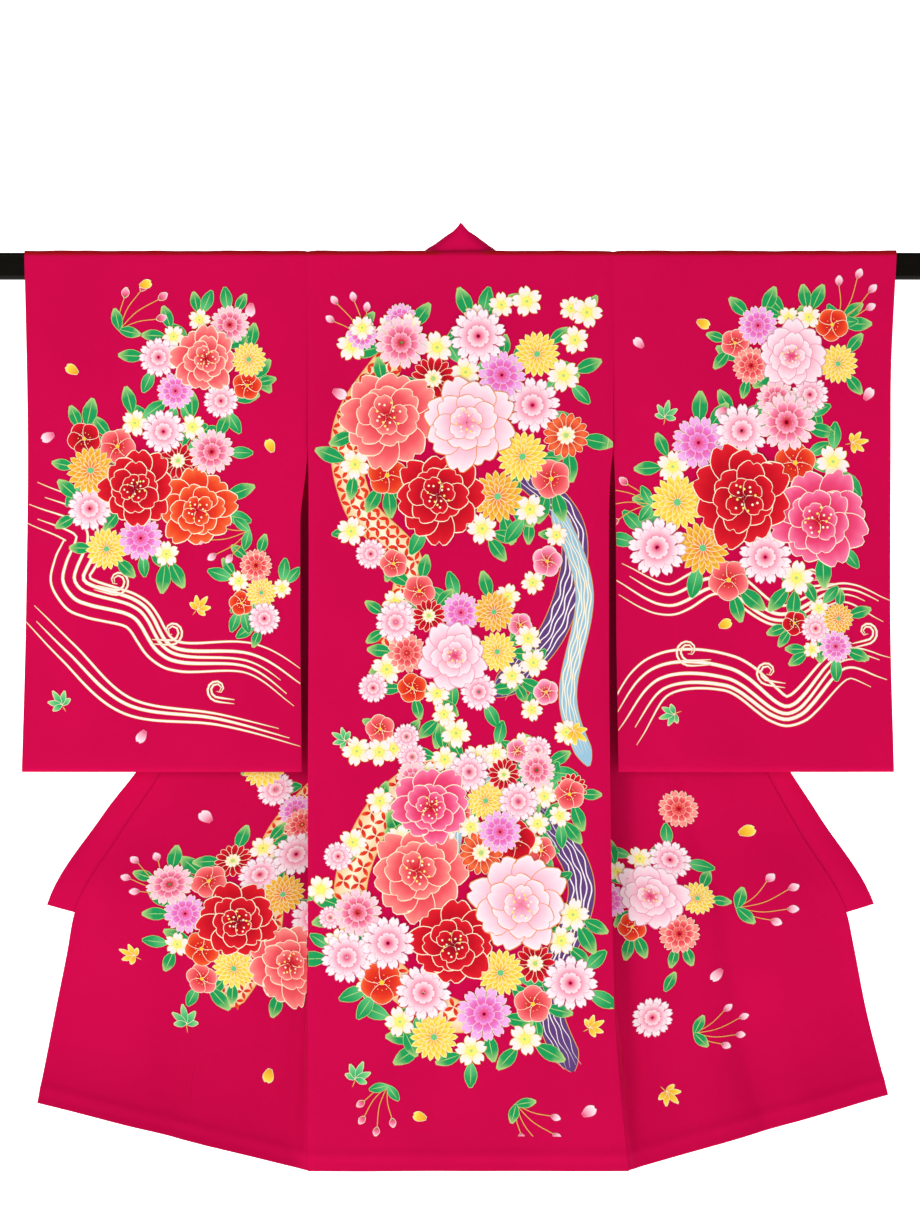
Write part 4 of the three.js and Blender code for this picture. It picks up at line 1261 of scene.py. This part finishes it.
def lay_print(name, panel, painter, first, last, top, bottom, lift=PRINT_LIFT, bends=(), **options):
    """Draws a print, trims it to a stretch of its panel, and lays it on the cloth."""
    p = Print(panel)
    painter(p, **options)
    p.add_motif()
    bm = p.whole
    cut(bm, (first, 0, 0), (-1, 0, 0), True)
    cut(bm, (last, 0, 0), (1, 0, 0), True)
    cut(bm, (0, top, 0), (0, -1, 0), True)
    cut(bm, (0, bottom, 0), (0, 1, 0), True)
    for across in bends:
        cut(bm, (across, 0, 0), (1, 0, 0))
    bm.verts.index_update()
    flat = np.array([v.co[:] for v in bm.verts]) + (0, 0, lift)
    grain = bm.loops.layers.uv.new("grain")
    for face in bm.faces:
        for corner in face.loops:
            corner[grain].uv = corner.vert.co.xy
    laid, above = (panel.place(flat[:, 0], flat[:, 1], flat[:, 2] + up) * MM for up in (0, 1))
    for v, place in zip(bm.verts, laid):
        v.co = place
    bm.normal_update()
    ways = above - laid
    inward = [face for face in bm.faces if face.normal.dot(Vector(ways[face.verts[0].index])) < 0]
    bmesh.ops.reverse_faces(bm, faces=inward)
    for face in bm.faces:
        face.smooth = True
    piece = add_piece(to_mesh(bm, name), "silk_crepe", dyed)
    print(name, len(piece.data.polygons), "faces, relief", round(float(flat[:, 2].max()), 2), "mm")
    return piece


def whole_front(word):
    """Front and overlap panel as one grid, for a print that runs across their seam."""
    drops = spaced(560, HEM_DROP - 2, PITCH)
    whole = front_panel(SIDES[word], "front_" + word, drops, lambda w: 0.0, lambda w: w)
    even = np.linspace(0, whole.measures[:, -1].max(), whole.points.shape[1])
    for k, row in enumerate(whole.measures):
        for grid in (whole.points, whole.out):
            grid[k] = at_places(even, row, grid[k])
    whole.across = even
    return whole


EDGE = 0.6  # kept clear beside a seam
prints = {"back_body": [
    lay_print("print_back", back, print_back, EDGE - BACK_HALF, BACK_HALF - EDGE, 30, FINE_BELOW)]}
for word, plan in SLEEVE_PLANS.items():
    name, sleeve = "print_sleeve_" + word, panels["sleeve_" + word]
    end, half, wide = sleeve.down[-1], sleeve.down[-1] / 2, SLEEVE_WIDE - EDGE
    prints["sleeve_" + word] = [
        lay_print(name, sleeve, print_sleeve, EDGE, wide, 26, half - 8, plan=plan),
        lay_print(name + "_far", sleeve, print_sleeve, EDGE, wide, half + 8, end - 26, plan=plan, near=False)]
for word, painter in (("left", print_left_front), ("right", print_right_front)):
    whole = whole_front(word)
    bends = [a for a in whole.across[1:] if a < 70 or 96 < a < 182]  # where the cloth turns sharply
    prints["front_body_" + word] = [
        lay_print("print_front_" + word, whole, painter, EDGE, whole.across[-1] - 0.5, 566, HEM_DROP - 30,
                  0.3, bends)]

# %% [markdown]
# The size that every panel was cut to is listed here and printed beside its area. A sleeve is one
# length folded over at the shoulder, so its cut is the whole way round the tube.

# %% Cut sizes of the panels
def area_of(panel):
    """The panel's own area in square metres."""
    g = panel.points * MM
    edge_a, edge_b = np.diff(g, axis=0)[:, :-1], np.diff(g, axis=1)[:-1]
    return float(np.linalg.norm(np.cross(edge_a, edge_b), axis=2).sum())


CUTS = {
    "back_body": (0.351, 1.064, "hung"), "front_body": (0.145, 1.066, "folded"), "okumi": (0.168, 0.93, "hung"),
    "sleeve": (0.324, 1.2, "hung"), "collar": (0.033, panels["collar"].down[-1] * MM, "hung"),
}
for name, piece in shells.items():
    width, length, held = CUTS[name.replace("_left", "").replace("_right", "")]
    area = min(area_of(panels[name]), width * length)
    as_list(prints.get(name, []))
    print(name, "cut", width, "by", round(length, 3), "area", round(area, 3))

# %% [markdown]
# The photograph is taken straight on with a long lens, against white, in even light. A tall pale
# backdrop and a floor below the picture stand in for the studio, with a large soft light on each side.

# %% Studio and camera
PX = 1.148 * MM  # one pixel of the photograph, on the garment
PHOTO_W, PHOTO_H = 920, 1230
ORIGIN_X_PX, ORIGIN_Z_PX = 461, 266.5
CAMERA_AWAY = 6.5


def studio_plane(name, size, place, turn):
    bm = bmesh.new()
    bmesh.ops.create_grid(bm, x_segments=1, y_segments=1, size=size)
    bmesh.ops.rotate(bm, cent=(0, 0, 0), matrix=Matrix.Rotation(turn, 3, "X"), verts=bm.verts)
    bmesh.ops.translate(bm, vec=place, verts=bm.verts)
    plane = bpy.data.objects.new(name, to_mesh(bm, name))
    bpy.context.collection.objects.link(plane)
    plane.data.materials.append(new_material(
        name, Base_Color=(0.93, 0.93, 0.93, 1), Roughness=0.9, Emission_Color=(1, 1, 1, 1),
        Emission_Strength=1.0)[0])


studio_plane("backdrop", 14, (0, 9, 0), math.pi / 2)
studio_plane("floor", 14, (0, 0, -1.45), 0)


def soft_light(name, place, aim, size, power):
    light = bpy.data.lights.new(name, "AREA")
    light.shape, light.size, light.energy = "SQUARE", size, power
    lamp = bpy.data.objects.new(name, light)
    lamp.location = place
    lamp.rotation_euler = (Vector(aim) - Vector(place)).to_track_quat("-Z", "Y").to_euler()
    bpy.context.collection.objects.link(lamp)


soft_light("key", (-2.3, -3.4, 0.1), (0, 0, -0.45), 1.2, 49)
soft_light("fill", (2.7, -3.5, -0.9), (0, 0, -0.5), 2.0, 23)
world = bpy.data.worlds.new("studio")
world.use_nodes = True
sky = world.node_tree.nodes["Background"].inputs
sky["Color"].default_value, sky["Strength"].default_value = (1, 1, 1, 1), 0.28
bpy.context.scene.world = world
bpy.context.scene.view_settings.view_transform = "Standard"

lens = bpy.data.cameras.new("camera")
lens.sensor_fit = "VERTICAL"
lens.sensor_height = 24
lens.lens = lens.sensor_height * CAMERA_AWAY / (PHOTO_H * PX)
camera = bpy.data.objects.new("camera", lens)
camera.location = ((PHOTO_W / 2 - ORIGIN_X_PX) * PX, -CAMERA_AWAY, (ORIGIN_Z_PX - PHOTO_H / 2) * PX)
camera.rotation_euler = (math.pi / 2, 0, 0)
bpy.context.collection.objects.link(camera)
bpy.context.scene.camera = camera
print("lens", round(lens.lens, 1), "mm")
